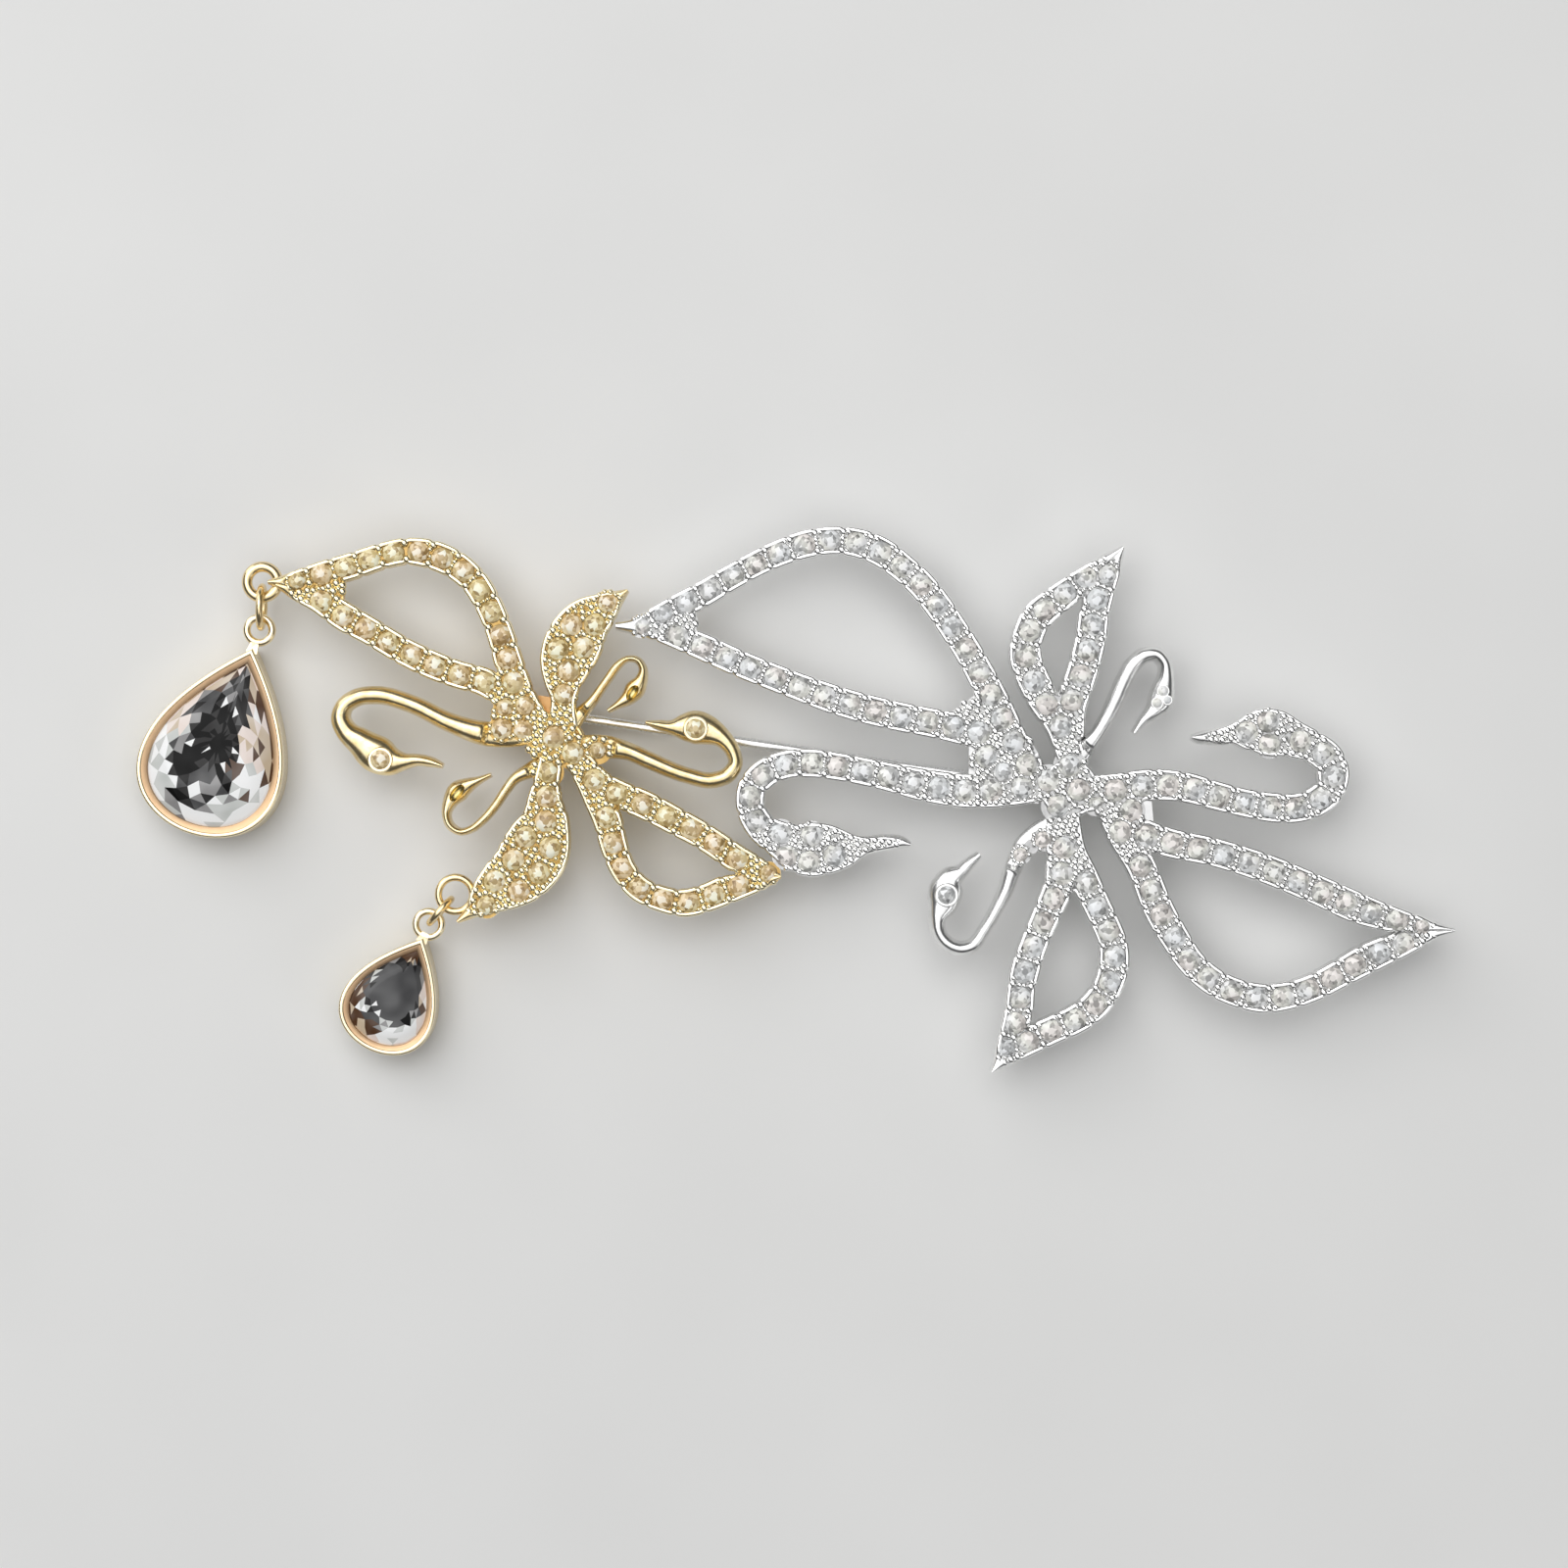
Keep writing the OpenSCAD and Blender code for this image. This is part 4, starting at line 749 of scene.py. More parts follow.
class Finish:
    """A material under way, with its Principled shader."""

    def __init__(self, name, **constants):
        self.material = bpy.data.materials.new(name)
        self.material.use_nodes = True
        self.tree = self.material.node_tree
        self.shader = self.tree.nodes["Principled BSDF"]
        for socket, value in constants.items():
            label = socket.replace("_", " ").title().replace("Ior", "IOR")
            self.shader.inputs[label].default_value = value

    def node(self, kind, settings=None, inputs=None):
        """A new node with its settings, its ramp's stops and its inputs."""
        made = self.tree.nodes.new("ShaderNode" + kind)
        for key, value in (settings or {}).items():
            if key == "stops":
                for _ in value[2:]:
                    made.color_ramp.elements.new(0.5)
                for stop, (place, colour) in zip(made.color_ramp.elements, value):
                    stop.position, stop.color = place, (*colour, 1)
            else:
                setattr(made, key, value)
        for key, value in (inputs or {}).items():
            self.plug(made.inputs[key], value)
        return made

    def plug(self, socket, value):
        """Joins a wire to a socket, or sets the socket to a constant."""
        if isinstance(value, Wire):
            self.tree.links.new(value.socket, socket)
        else:
            socket.default_value = value

    def wire(self, kind, output, settings=None, inputs=None):
        """One output of a new node."""
        return Wire(self, self.node(kind, settings, inputs).outputs[output])

    def noise(self, scale, detail=2.0):
        """Noise on the object's own coordinates, in metres."""
        place = self.wire("TexCoord", "Object")
        return self.wire("TexNoise", "Fac", None, {"Vector": place, "Scale": scale, "Detail": detail})

    def tone(self):
        """The tone that each face carries."""
        return self.wire("Attribute", "Fac", {"attribute_name": "tone"})

    def ramp(self, factor, stops):
        """A colour read off between stops of place and colour."""
        return self.wire("ValToRGB", "Color", {"stops": stops}, {"Fac": factor})

    def set(self, **links):
        """Plugs the shader's own sockets and hands over the finished material."""
        for socket, value in links.items():
            self.plug(self.shader.inputs[socket.replace("_", " ")], value)
        return self.material

    def bump(self, height, strength):
        """Normals for a height of 0.02 mm at most."""
        return self.wire("Bump", "Normal", None, {
            "Height": height, "Strength": strength, "Distance": 0.02 * MM})


# %% [markdown]
# ## Metal
# Both castings are polished under their plating, one pale gold and one rhodium white. Each face
# carries a tone, from 0 deep in the beds to 1 on the rims and beads, and the finish runs from a
# dark dull metal to a bright clean one: painted shade in the beds between stones, and polish with
# painted highlight on the rims and beads. A fine noise breaks up the gloss as a hand polish does.

# %% Plated metals
# Scales of the polish's noise and of the bump's, the bump's strength, and gloss gained with tone
POLISH_SCALE, BUMP_SCALE, BUMP, GLOSS = 1800.0, 2200.0, 0.3, 0.16


def plated(name, deep, middle, bright, tone=None, rough=0.36, uneven=0.2):
    """A metal whose colour and gloss run with the faces' tone, its painted light and shade, or with
    one tone all over.
    """
    finish = Finish(name, metallic=1.0)
    grain = finish.noise(POLISH_SCALE, 3.0)
    # The tone is painted light: towards the deep colour painted shade, towards the bright one painted
    # highlight
    shade = (grain - 0.5) * uneven + (finish.tone() if tone is None else tone)
    return finish.set(
        Base_Color=finish.ramp(shade, [(0.0, deep), (0.5, middle), (0.85, bright)]),
        Roughness=rough - shade * GLOSS,
        Normal=finish.bump(finish.noise(BUMP_SCALE), BUMP),
    )


# Deep colours are the painted shade in the beds, bright ones the painted highlight on rims and beads
GOLD = plated(
    "gold_plate", (0.38, 0.23, 0.07), (0.82, 0.6, 0.26), (1.0, 0.9, 0.62), uneven=0.45)
SILVER = plated(
    "silver_plate", (0.42, 0.42, 0.42), (0.76, 0.76, 0.76), (1.0, 1.0, 0.99), uneven=0.45)
RING_GOLD = plated("ring_gold", (0.3, 0.17, 0.05), (0.82, 0.58, 0.26), (1.0, 0.86, 0.56), 0.7)
DROP_GOLD = plated("drop_gold", (0.4, 0.24, 0.1), (0.85, 0.64, 0.34), (1.0, 0.88, 0.62), 0.8)
# The bevel is the cup's gold in a darker tan: painted shade on its sloping inner face
BEVEL_GOLD_PAINTED_SHADE = plated(
    "bevel_gold_painted_shade", (0.45, 0.27, 0.14), (0.66, 0.45, 0.27), (0.8, 0.6, 0.42), 0.5, rough=0.5)
# The hinge's gold is darkened to a reddish brown: painted shade, as it lies under the hub
HINGE_GOLD_PAINTED_SHADE = plated("hinge_gold_painted_shade", (0.25, 0.12, 0.05), (0.6, 0.36, 0.16), (0.9, 0.7, 0.4), 0.35)
PIN_STEEL = plated("pin_steel", (0.5, 0.5, 0.5), (0.88, 0.88, 0.88), (0.98, 0.98, 0.98), 0.55)
HOLLOW = plated("gold_hollow", (0.2, 0.13, 0.03), (0.6, 0.46, 0.16), (0.95, 0.8, 0.4), 0.6)
print("metals:", [material.name for material in bpy.data.materials])


# %% [markdown]
# ## Stones' finish
# A foiled stone a millimetre and a half wide is seldom seen as clear glass. The eye sees a few
# facets flash white, some grey and some almost black, with a dark line where it meets metal.
# Each facet's tone is a painted reflection, with painted flashes, painted shade and a painted
# dark line at the girdle. It is drawn once, by kind of facet, and kept as an attribute of the
# faces; the finish turns tone into colour and adds a slight tint from stone to stone.

# %% Foiled stones
def foiled(name, stops, tints):
    """Tone, the facets' painted reflection, through a ramp of colours, times a tint from a coarse
    noise.
    """
    finish = Finish(name, roughness=0.06, ior=1.6)
    tone = finish.tone()
    tint = finish.ramp(finish.noise(420.0, 0.0), tints)
    colour = finish.wire("Mix", 2, {"data_type": "RGBA", "blend_type": "MULTIPLY"}, {
        0: 1.0, 6: finish.ramp(tone, stops), 7: tint})
    return finish.set(Base_Color=colour)


CHAMPAGNE = foiled("champagne_stone", [
    (0.0, (0.2, 0.12, 0.04)), (0.3, (0.48, 0.35, 0.16)), (0.55, (0.74, 0.6, 0.35)),
    (0.8, (0.98, 0.88, 0.64)), (1.0, (1.0, 1.0, 0.9))],
    [(0.35, (1.0, 0.9, 0.8)), (0.5, (1.0, 0.98, 0.92)), (0.65, (1.0, 0.98, 0.82))])
CLEAR = foiled("clear_stone", [
    (0.0, (0.12, 0.12, 0.12)), (0.3, (0.42, 0.42, 0.415)), (0.55, (0.68, 0.68, 0.67)),
    (0.8, (0.94, 0.94, 0.93)), (1.0, (1.0, 1.0, 1.0))],
    [(0.34, (1.0, 0.95, 0.92)), (0.44, (1.0, 1.0, 0.94)), (0.55, (1.0, 1.0, 1.0)),
     (0.68, (0.96, 0.98, 1.0))])
print("stones' finishes:", CHAMPAGNE.name, CLEAR.name)


# %% [markdown]
# ## A round brilliant and a bead
# A brilliant's crown has an octagonal table, eight stars, eight kites and sixteen girdle
# facets. The table gets a ring of facets too, which is how the pavilion shows through it. A
# bead is the grain of metal that a setter pushes over a stone's edge.

# %% Unit shapes
def ring_at(count, radius, height, phase=0.0):
    """A ring of points: radius times cosine and sine, at one height."""
    return np.insert(polar(stepped_turn(count, phase), radius), 2, height, axis=1)


# Radii as shares of the stone's; heights in millimetres above its girdle
BRILLIANT = np.vstack([
    ring_at(16, 1.02, -0.28), ring_at(16, 0.97, -0.03), ring_at(8, 0.79, 0.13, 0.5),
    ring_at(8, 0.58, 0.22), ring_at(8, 0.3, 0.25, 0.5),
])
FOOT, GIRDLE, STAR, TABLE, CORE = 0, 16, 32, 40, 48
EIGHT = np.arange(8)
BEFORE, AFTER = (EIGHT - 1) % 8, (EIGHT + 1) % 8
# The facets' corners, eight of each kind: two halves of the girdle's, kites, stars, two inner rings
GIRDLE_MIDDLE = GIRDLE + 2 * EIGHT + 1
KINDS = [
    [GIRDLE + 2 * EIGHT, GIRDLE_MIDDLE, STAR + EIGHT],
    [GIRDLE_MIDDLE, GIRDLE + 2 * AFTER, STAR + EIGHT],
    [TABLE + EIGHT, STAR + BEFORE, GIRDLE + 2 * EIGHT, STAR + EIGHT],
    [TABLE + EIGHT, STAR + EIGHT, TABLE + AFTER],
    [TABLE + EIGHT, TABLE + AFTER, CORE + EIGHT],
    [TABLE + AFTER, CORE + AFTER, CORE + EIGHT],
]
BRILLIANT_FACES = [np.arange(16)[None, ::-1], band(FOOT, GIRDLE, 16)]
BRILLIANT_FACES += [np.stack(corners, -1) for corners in KINDS] + [(CORE + EIGHT)[None]]
# Lowest and highest tone of each kind of facet, in the same order: painted reflection, with the
# foot and the girdle in painted shade
BRILLIANT_TONES = [
    (0.0, 0.0), (0.0, 0.1), (0.3, 0.9), (0.3, 0.9), (0.4, 1.0), (0.25, 0.85),
    (0.3, 0.8), (0.25, 0.9), (0.5, 1.0),
]
BEAD = np.vstack([
    ring_at(8, 1.0, -0.1), ring_at(8, 1.0, 0.12), ring_at(8, 0.7, 0.26), ring_at(8, 0.24, 0.32)])
BEAD_FACES = [EIGHT[None, ::-1], *[band(low, low + 8, 8) for low in (0, 8, 16)], (24 + EIGHT)[None]]
print("facets:", sum(map(len, BRILLIANT_FACES)), "of a stone,", sum(map(len, BEAD_FACES)), "of a bead")

# %% [markdown]
# Many copies of a unit shape are one shell, worked out as one array. Chance is drawn from one
# seeded generator, so each run gives the same brooch. Each stone has a point of painted flash and
# one of painted shade, and now and then a facet of its own is painted dark.

# %% Many stones at once
draw = np.random.default_rng(7)
# A stone is set a little wider than its seat. Shares of its radius: how near its middle and how
# far from it the painted flash and the painted shade can lie, and how wide each is. The share of
# facets that are painted dark anyway, and what is left of a dark facet's tone.
GROWTH, SPOT_NEAR, SPOT_FAR, FLASH_WIDE, SHADE_WIDE = 1.06, 0.1, 0.6, 0.33, 0.24
DARK_SHARE, DARK = 0.12, 0.4


def copies(unit, faces, places, height, turns, tone=1.0):
    """The unit shape turned, widened and moved to each place (x, y, radius), as one shell."""
    c, s = np.cos(turns)[:, None], np.sin(turns)[:, None]
    radius = places[:, 2:3]
    x = places[:, 0:1] + radius * (unit[:, 0] * c - unit[:, 1] * s)
    y = places[:, 1:2] + radius * (unit[:, 0] * s + unit[:, 1] * c)
    z = height + unit[:, 2] + 0 * x
    step = np.arange(len(places))[:, None, None] * len(unit)
    many = [(face[None] + step).reshape(-1, face.shape[1]) for face in faces]
    return make_shell(np.stack([x, y, z], -1).reshape(-1, 3), many, tone=tone)


def spots(count):
    """A drawn point in each unit stone: a random way out along a random turn."""
    turn, way = draw.uniform(0, 2 * np.pi, count), draw.uniform(SPOT_NEAR, SPOT_FAR, count)
    return polar(turn, way)[:, None]


def brilliants(places, girdle):
    """Stones with drawn tones, which are painted reflections: finish 1, each facet's tone drawn
    between its kind's limits, then dimmed as painted shade where it is dark or near the stone's
    shade, and set to 1, a painted flash, where it is near its flash."""
    count = len(places)
    places = places * [1, 1, GROWTH]
    shell = copies(BRILLIANT, BRILLIANT_FACES, places, girdle, draw.uniform(0, np.pi / 4, count))
    flash, shade = spots(count), spots(count)
    tones = []
    for face, (low, high) in zip(BRILLIANT_FACES, BRILLIANT_TONES):
        middle = BRILLIANT[face].mean(axis=1)[None, :, :2]
        tone = draw.uniform(low, high, (count, len(face)))
        # Painted shade near the stone's shade and on facets drawn dark
        dark = np.linalg.norm(middle - shade, axis=2) < SHADE_WIDE
        dark |= draw.uniform(0, 1, tone.shape) < DARK_SHARE
        tone = np.where(dark, tone * DARK, tone)
        # A painted flash near the stone's flash
        tone[np.linalg.norm(middle - flash, axis=2) < FLASH_WIDE] = 1.0
        tones.append(tone.ravel())
    shell["tone"] = np.concatenate(tones)
    shell["finish"] = np.full(len(shell["tone"]), 1)
    return shell


# %% [markdown]
# ## Fields of stones
# A field is one body: a thin bed that runs along its limbs, the stones sunk into it and the
# grains of metal that hold them. A setter raises grains with a graver wherever there is room,
# large ones where stones leave a wide gap and small ones in the corners. The same rule places
# them here: the next grain always goes where the most room is left, and fills it.

# %% Where a field lies
GIRDLE_Z = 5.24
# Bed strips: way in from the edges, how deep they reach, how high they rise, how much more for
# each next field and each next piece, and the half width of a limb that is too narrow for one
BED_IN, BED_DEEP, BED_RISE, BED_STEP, HAIR, BED_NARROW = 0.3, 0.15, 0.05, 0.004, 0.0003, 0.5
# Bed round a loose stone, round one in a hub, and way in from a web's edge
LOOSE_BED, HUB_BED, WEB_IN = 0.25, 0.45, 0.1
# Bed between stones that lie too far apart to share it. Columns: x, y, radius.
BRIDGES = {"silver_bottom_wing_stones": [[17.65, -3.6, 0.55]]}


def metal_of(name):
    """The metal that a name begins with."""
    return name.split("_")[0]


def all_stones(metal):
    """The stones of all fields in a metal."""
    return np.vstack([stones for field, stones in STONES.items() if field.startswith(metal)])


def limbs_of(field):
    """The limbs that a field lies on: those of its rows, or else the one that has its name."""
    return [row[0] for row in ROWS[field]] or [limb for limb in LIMBS if field == limb + "_stones"]


def across(limb, inset, shares):
    """Points of a limb at shares of its half width less an inset, wherever it is wide enough."""
    path = PATHS[limb]
    wide = path[:, 2] > BED_NARROW
    path, side = path[wide], sideways(path)[wide]
    reach = (path[:, 2:3] - inset) * np.asarray(shares)
    return path[:, None, :2] + side[:, None] * reach[..., None]


def bed_strip(limb, top):
    """A flat strip along a limb, a little in from its edges."""
    edges = across(limb, BED_IN, [1, -1])
    corners = [np.insert(edges[:, edge], 2, z, axis=1) for edge, z in (
        (0, BED_Z - BED_DEEP), (0, top), (1, top), (1, BED_Z - BED_DEEP))]
    # The bed carries painted shade between the stones
    return skin(np.stack(corners, axis=1), tone=BED_PAINTED_SHADE)


def bed_discs(name):
    """Discs of bed under a field's loose stones, in the webs that lie nearest to its stones,
    and for a hub's field in the hub. Columns: x, y, radius."""
    metal = metal_of(name)
    loose = np.array(LOOSE[name]).reshape(-1, 3)
    hub = name.endswith("hub_stones")
    discs = [*(loose + [0, 0, HUB_BED if hub else LOOSE_BED])]
    for x, y, radius in FILLS[metal]:
        nearest = lambda stones: np.hypot(stones[:, 0] - x, stones[:, 1] - y).min()
        if nearest(STONES[name]) <= nearest(all_stones(metal)):
            discs.append([x, y, radius - WEB_IN])
    if hub:
        x, y, radius = HUBS[metal]
        discs.append([x, y, radius - BED_IN])
    return np.array(discs).reshape(-1, 3)


print({name: len(bed_discs(name)) for name in ROWS})


# %% Grains
# Way in from a limb's edge and from a disc's, the largest and the smallest grain, how far a grain
# laps over its neighbours, how much chance has to say, and the share of a grain that needs metal
GRAIN_IN, GRAIN_DISC_IN, GRAIN_MOST, GRAIN_LEAST, GRAIN_LAP = 0.4, 0.12, 0.32, 0.11, 0.09
GRAIN_CHANCE, GRAIN_HELD = 0.015, 0.4
# Places tried: shares across a limb, and turns and ways out in a disc
TRY_ACROSS, TRY_TURNS, TRY_WAYS = np.linspace(-1, 1, 9), full_turn(24), np.linspace(0.1, 1, 6)


def grain_places(name, taken):
    """Grains of a field, each put where the room beside stones and grains so far is largest.
    Room is the distance to the nearest one less its radius."""
    sites = [across(limb, GRAIN_IN, TRY_ACROSS).reshape(-1, 2) for limb in limbs_of(name)]
    ring = polar(TRY_TURNS, TRY_WAYS[:, None]).reshape(-1, 2)
    sites += [[x, y] + ring * (radius - GRAIN_DISC_IN) for x, y, radius in bed_discs(name)]
    sites = np.vstack(sites)
    room = (np.linalg.norm(sites[:, None] - taken[None, :, :2], axis=2) - taken[:, 2]).min(axis=1)
    room += draw.uniform(0, GRAIN_CHANCE, len(room))
    grains = []
    while room.max() > GRAIN_LEAST:
        best = room.argmax()
        radius = min(room[best], GRAIN_MOST - GRAIN_LAP)
        grains.append([*sites[best], radius + GRAIN_LAP])
        room = np.minimum(room, np.linalg.norm(sites - sites[best], axis=1) - radius)
    return np.array(grains)


def lots(places):
    """Sorts round things into lots in which no two overlap: each goes into the first lot that
    has room for it. One lot can then be one shell, and be united in one step."""
    chosen = []
    for number, place in enumerate(places):
        for lot in chosen:
            near = places[lot]
            if (np.hypot(*(near[:, :2] - place[:2]).T) > near[:, 2] + place[2]).all():
                lot.append(number)
                break
        else:
            chosen.append([number])
    return chosen


# %% Fields
def field(name, order, taken):
    """A field's shells and its grains: strips and discs of bed, stones and grains. Each piece
    of bed is a hair higher than the last, so that no two tops lie in one plane."""
    top = BED_Z + BED_RISE + BED_STEP * order
    grains = grain_places(name, taken)
    limbs = limbs_of(name)
    # Strips and discs of bed carry the bed's painted shade
    parts = [bed_strip(limb, top + HAIR * number) for number, limb in enumerate(limbs)]
    discs = [*bed_discs(name), *BRIDGES.get(name, [])]
    parts += [disc(x, y, r, BED_Z - BED_DEEP, top + HAIR * number)
              for number, (x, y, r) in enumerate(discs, len(limbs))]
    parts += [brilliants(STONES[name], GIRDLE_Z)]
    turns = draw.uniform(0, np.pi / 4, len(grains))
    held = depth_in(grains[:, :2], metal_discs(metal_of(name))) > grains[:, 2] * GRAIN_HELD
    shown, turns = grains[held], turns[held]
    parts += [copies(BEAD, BEAD_FACES, shown[lot], top, turns[lot]) for lot in lots(shown)]
    print(name, "stones", len(STONES[name]), "grains", len(shown), "of", len(grains))
    return parts, grains


METALS = {"gold": GOLD, "silver": SILVER}
GLASS = {"gold": CHAMPAGNE, "silver": CLEAR}


def dress_stones(name, parts):
    """Fuses the shells of a field or a head and puts them in the place of its solids."""
    metal = metal_of(name)
    dressed = fuse(name + "_dressed", parts, [METALS[metal], GLASS[metal]], flat=(1,))
    stand_for(dressed, name)


taken = {metal: all_stones(metal) for metal in METALS}
for order, name in enumerate(ROWS):
    parts, grains = field(name, order, taken[metal_of(name)])
    taken[metal_of(name)] = np.vstack([taken[metal_of(name)], grains])
    dress_stones(name, parts)

# %% [markdown]
# ## The stones in the heads
# Four heads carry a stone each, or three tiny ones, held in a collar that stands up from the
# metal. The collar is a ring with a square section whose upper corners are eased.

# %% Head stones
# The collar's section. Columns: share of the wall that it lies out, way further in, height
COLLAR = np.array([[0, 0.04, 5.0], [1, 0, 5.0], [1, 0, 5.5], [0.6, 0, 5.6], [0, 0.02, 5.6]])
# The collar's sides and tone, its wall, and the wall of one whose stone is small
COLLAR_SIDES, COLLAR_TONE, COLLAR_WALL, SMALL_WALL, SMALL_STONE = 40, 0.95, 0.2, 0.09, 0.5
# The girdle's height, the ends of the post under it, how much wider that is, and its sides
HEAD_GIRDLE, HEAD_SEAT, HEAD_SEAT_OUT, HEAD_SEAT_SIDES = 5.59, [4.9, 5.45], 0.02, 16
# A plate under several stones: radius, bottom and top. The least tone of such tiny stones, whose
# painted reflections are kept light.
PLATE, TINY_TONE = [0.62, 4.95, 5.3], 0.5


def collar(x, y, radius):
    """A square section with an eased edge carried round a stone."""
    wall = COLLAR_WALL if radius > SMALL_STONE else SMALL_WALL
    ways = COLLAR[:, 0] * wall - COLLAR[:, 1] + radius
    return carried_round(x, y, np.stack([ways, COLLAR[:, 2]], -1), COLLAR_SIDES, tone=COLLAR_TONE)


for name, rows in HEADS.items():
    seats = [disc(x, y, r + HEAD_SEAT_OUT, *HEAD_SEAT, HEAD_SEAT_SIDES) for x, y, r in rows]
    stones = brilliants(np.array(rows), HEAD_GIRDLE)
    parts = [*seats, *[collar(*row) for row in rows], stones]
    if len(rows) > 1:
        # Tiny stones' painted reflections are lifted towards white
        stones["tone"] = TINY_TONE + (1 - TINY_TONE) * stones["tone"]
        parts.append(disc(*np.mean(rows, axis=0)[:2], *PLATE))
    dress_stones(name, parts)

# %% [markdown]
# ## The two castings
# Each metal is one casting: all its limbs, its hub and webs, and for the gold one the two rings
# that the drops hang from. United, they have one clean outside. The heads of the two smallest
# gold swans each have a dark hollow in place of a stone, cut with an egg on its side.

# %% Castings
# Metal round a loose stone, beyond its radius, the posts' ends in the casting, and the webs' painted
# shade
SEAT_OUT, POST_LOW, POST_HIGH, WEB_PAINTED_SHADE = 0.27, BACK_Z + 0.01, BED_Z - 0.02, 0.4
# Columns: x, y, length, width, turn
HOLLOWS = {"gold": [[-12.05, 7.85, 1.3, 0.75, 55], [-25.1, 0.4, 1.5, 0.8, 50]], "silver": []}
# An egg's height, and the angle up and down to which it is drawn
HOLLOW_HIGH, EGG_END = 0.9, 1.45


def egg(x, y, length, width, turn):
    """An ellipsoid: cos a cos b along, sin a cos b across and sin b up, times its half sizes,
    turned about an upright line."""
    a = full_turn(24)[None]
    b = np.linspace(-EGG_END, EGG_END, 12)[:, None]
    along, side = length / 2 * np.cos(a) * np.cos(b), width / 2 * np.sin(a) * np.cos(b)
    c, s = np.cos(np.radians(turn)), np.sin(np.radians(turn))
    high = PLAIN_TOP + HOLLOW_HIGH / 2 * np.sin(b) + 0 * a
    grid = [x + along * c - side * s, y + along * s + side * c, high]
    return skin(np.stack(grid, -1), finish=2)


def seat_posts(metal):
    """Posts of full height under the loose stones, sorted into shells without overlaps."""
    rows = [row for name, rows in LOOSE.items() if name.startswith(metal) for row in rows]
    posts = np.array(rows) + [0, 0, SEAT_OUT]
    return [join([disc(*posts[number], POST_LOW, POST_HIGH, tone=WALL_TONE) for number in lot])
            for lot in lots(posts)]


CASTINGS = {
    "gold": ([LARGE_TIP_RING, SMALL_TIP_RING], [GOLD, RING_GOLD, HOLLOW]),
    "silver": ([], [SILVER]),
}
for metal, (rings, finishes) in CASTINGS.items():
    stones = all_stones(metal)
    parts = [hub_skin(metal)]
    parts += [limb_skin(limb, metal, stones) for limb in LIMBS if limb.startswith(metal)]
    # Webs fill the corners at the roots and carry painted shade
    parts += [prism(web, BACK_Z, BED_Z, WEB_PAINTED_SHADE) for web in WEBS[metal]]
    parts += [disc(*core, POST_LOW, POST_HIGH) for core in CORES[metal]]
    parts += seat_posts(metal)
    parts += [wire_ring(*ring, finish=1) for ring in rings]
    cuts = [egg(*hollow) for hollow in HOLLOWS[metal]]
    casting = fuse(f"{metal}_swans_dressed", parts, finishes, sharp_angle=50, cuts=cuts)
    stand_for(casting, f"{metal}_swans")

# %% [markdown]
# ## Drops
# A drop is a pear crystal in a closed cup. The pear is a circle squeezed towards its tip: across
# it goes as sin t sin(t/2) and along as cos t. Every line round the cup is that pear again, set
# in by some way, so the cup is a stack of pears from its foot over the lip and down the bevel.

# %% Pears
# The most that sin t sin(t/2) comes to, and half the angle of a pear's tip
PEAR_FACTOR, TIP_ANGLE = 0.7698, np.radians(44)
# Columns: length, width, middle, turn
DROPS = {
    "large": [14.7, 11.0, [-43, 4.3], -19.5],
    "small": [9.35, 7.3, [-29.86, -14.64], -26.5],
}


def pear(drop, inset, share, height, t):
    """A pear outline set in from the drop's edge and then shrunk to a share about its middle,
    in the part's frame. The tip loses inset / sin(tip angle), the other sides the inset."""
    length, width, middle, turn = DROPS[drop]
    tip = inset / np.sin(TIP_ANGLE)
    x = -(width - 2 * inset) * share / 2 / PEAR_FACTOR * np.sin(t) * np.sin(t / 2)
    y = (length - inset - tip) * share / 2 * np.cos(t) + (inset - tip) / 2
    c, s = np.cos(np.radians(turn)), np.sin(np.radians(turn))
    return np.stack([middle[0] + x * c - y * s, middle[1] + x * s + y * c, height + 0 * x], -1)


print("tips:", {drop: pear(drop, 0, 1, 0, 0.0).round(2).tolist() for drop in DROPS})

# %% [markdown]
# The cup's section starts under the foot, goes up the wall, rounds the lip and comes down the
# inner bevel that frames the crystal, a darker tan as painted shade. A short tab joins the cup to
# its ring.

# %% Bezels
# Columns: way in, height, finish of the band below
CUP = np.array([
    [0.35, 0.0, 0], [0.12, 0.04, 0], [0.02, 0.2, 0], [0.02, 3.25, 0], [0.03, 3.45, 0],
    [0.07, 3.55, 0], [0.14, 3.6, 0], [0.3, 3.6, 0], [0.36, 3.57, 0], [0.38, 3.49, 0],
    [0.7, 3.43, 1], [0.76, 3.38, 1], [0.78, 2.75, 1],
])
# Ways in past this one belong to the bevel
BEVEL_IN = 0.5
CUP_SIDES = 120
# The tab: how far it starts inside the cup's tip, its length, half widths and half thickness
TAB_IN, TAB_LONG, TAB_START, TAB_END, TAB_THICK = 0.35, 0.75, 0.42, 0.3, 0.26


def cup(drop, deep):
    """The stack of pears, each at its own inset and height; deep widens the bevel."""
    ways = np.where(CUP[:, 0] > BEVEL_IN, CUP[:, 0] * deep, CUP[:, 0])
    rings = [pear(drop, way, 1.0, z, full_turn(CUP_SIDES)) for way, z in zip(ways, CUP[:, 1])]
    shell = skin(np.stack(rings))
    bands = np.repeat(CUP[1:, 2].astype(int), CUP_SIDES)
    shell["finish"] = np.concatenate([bands, [0, 1]])
    return shell


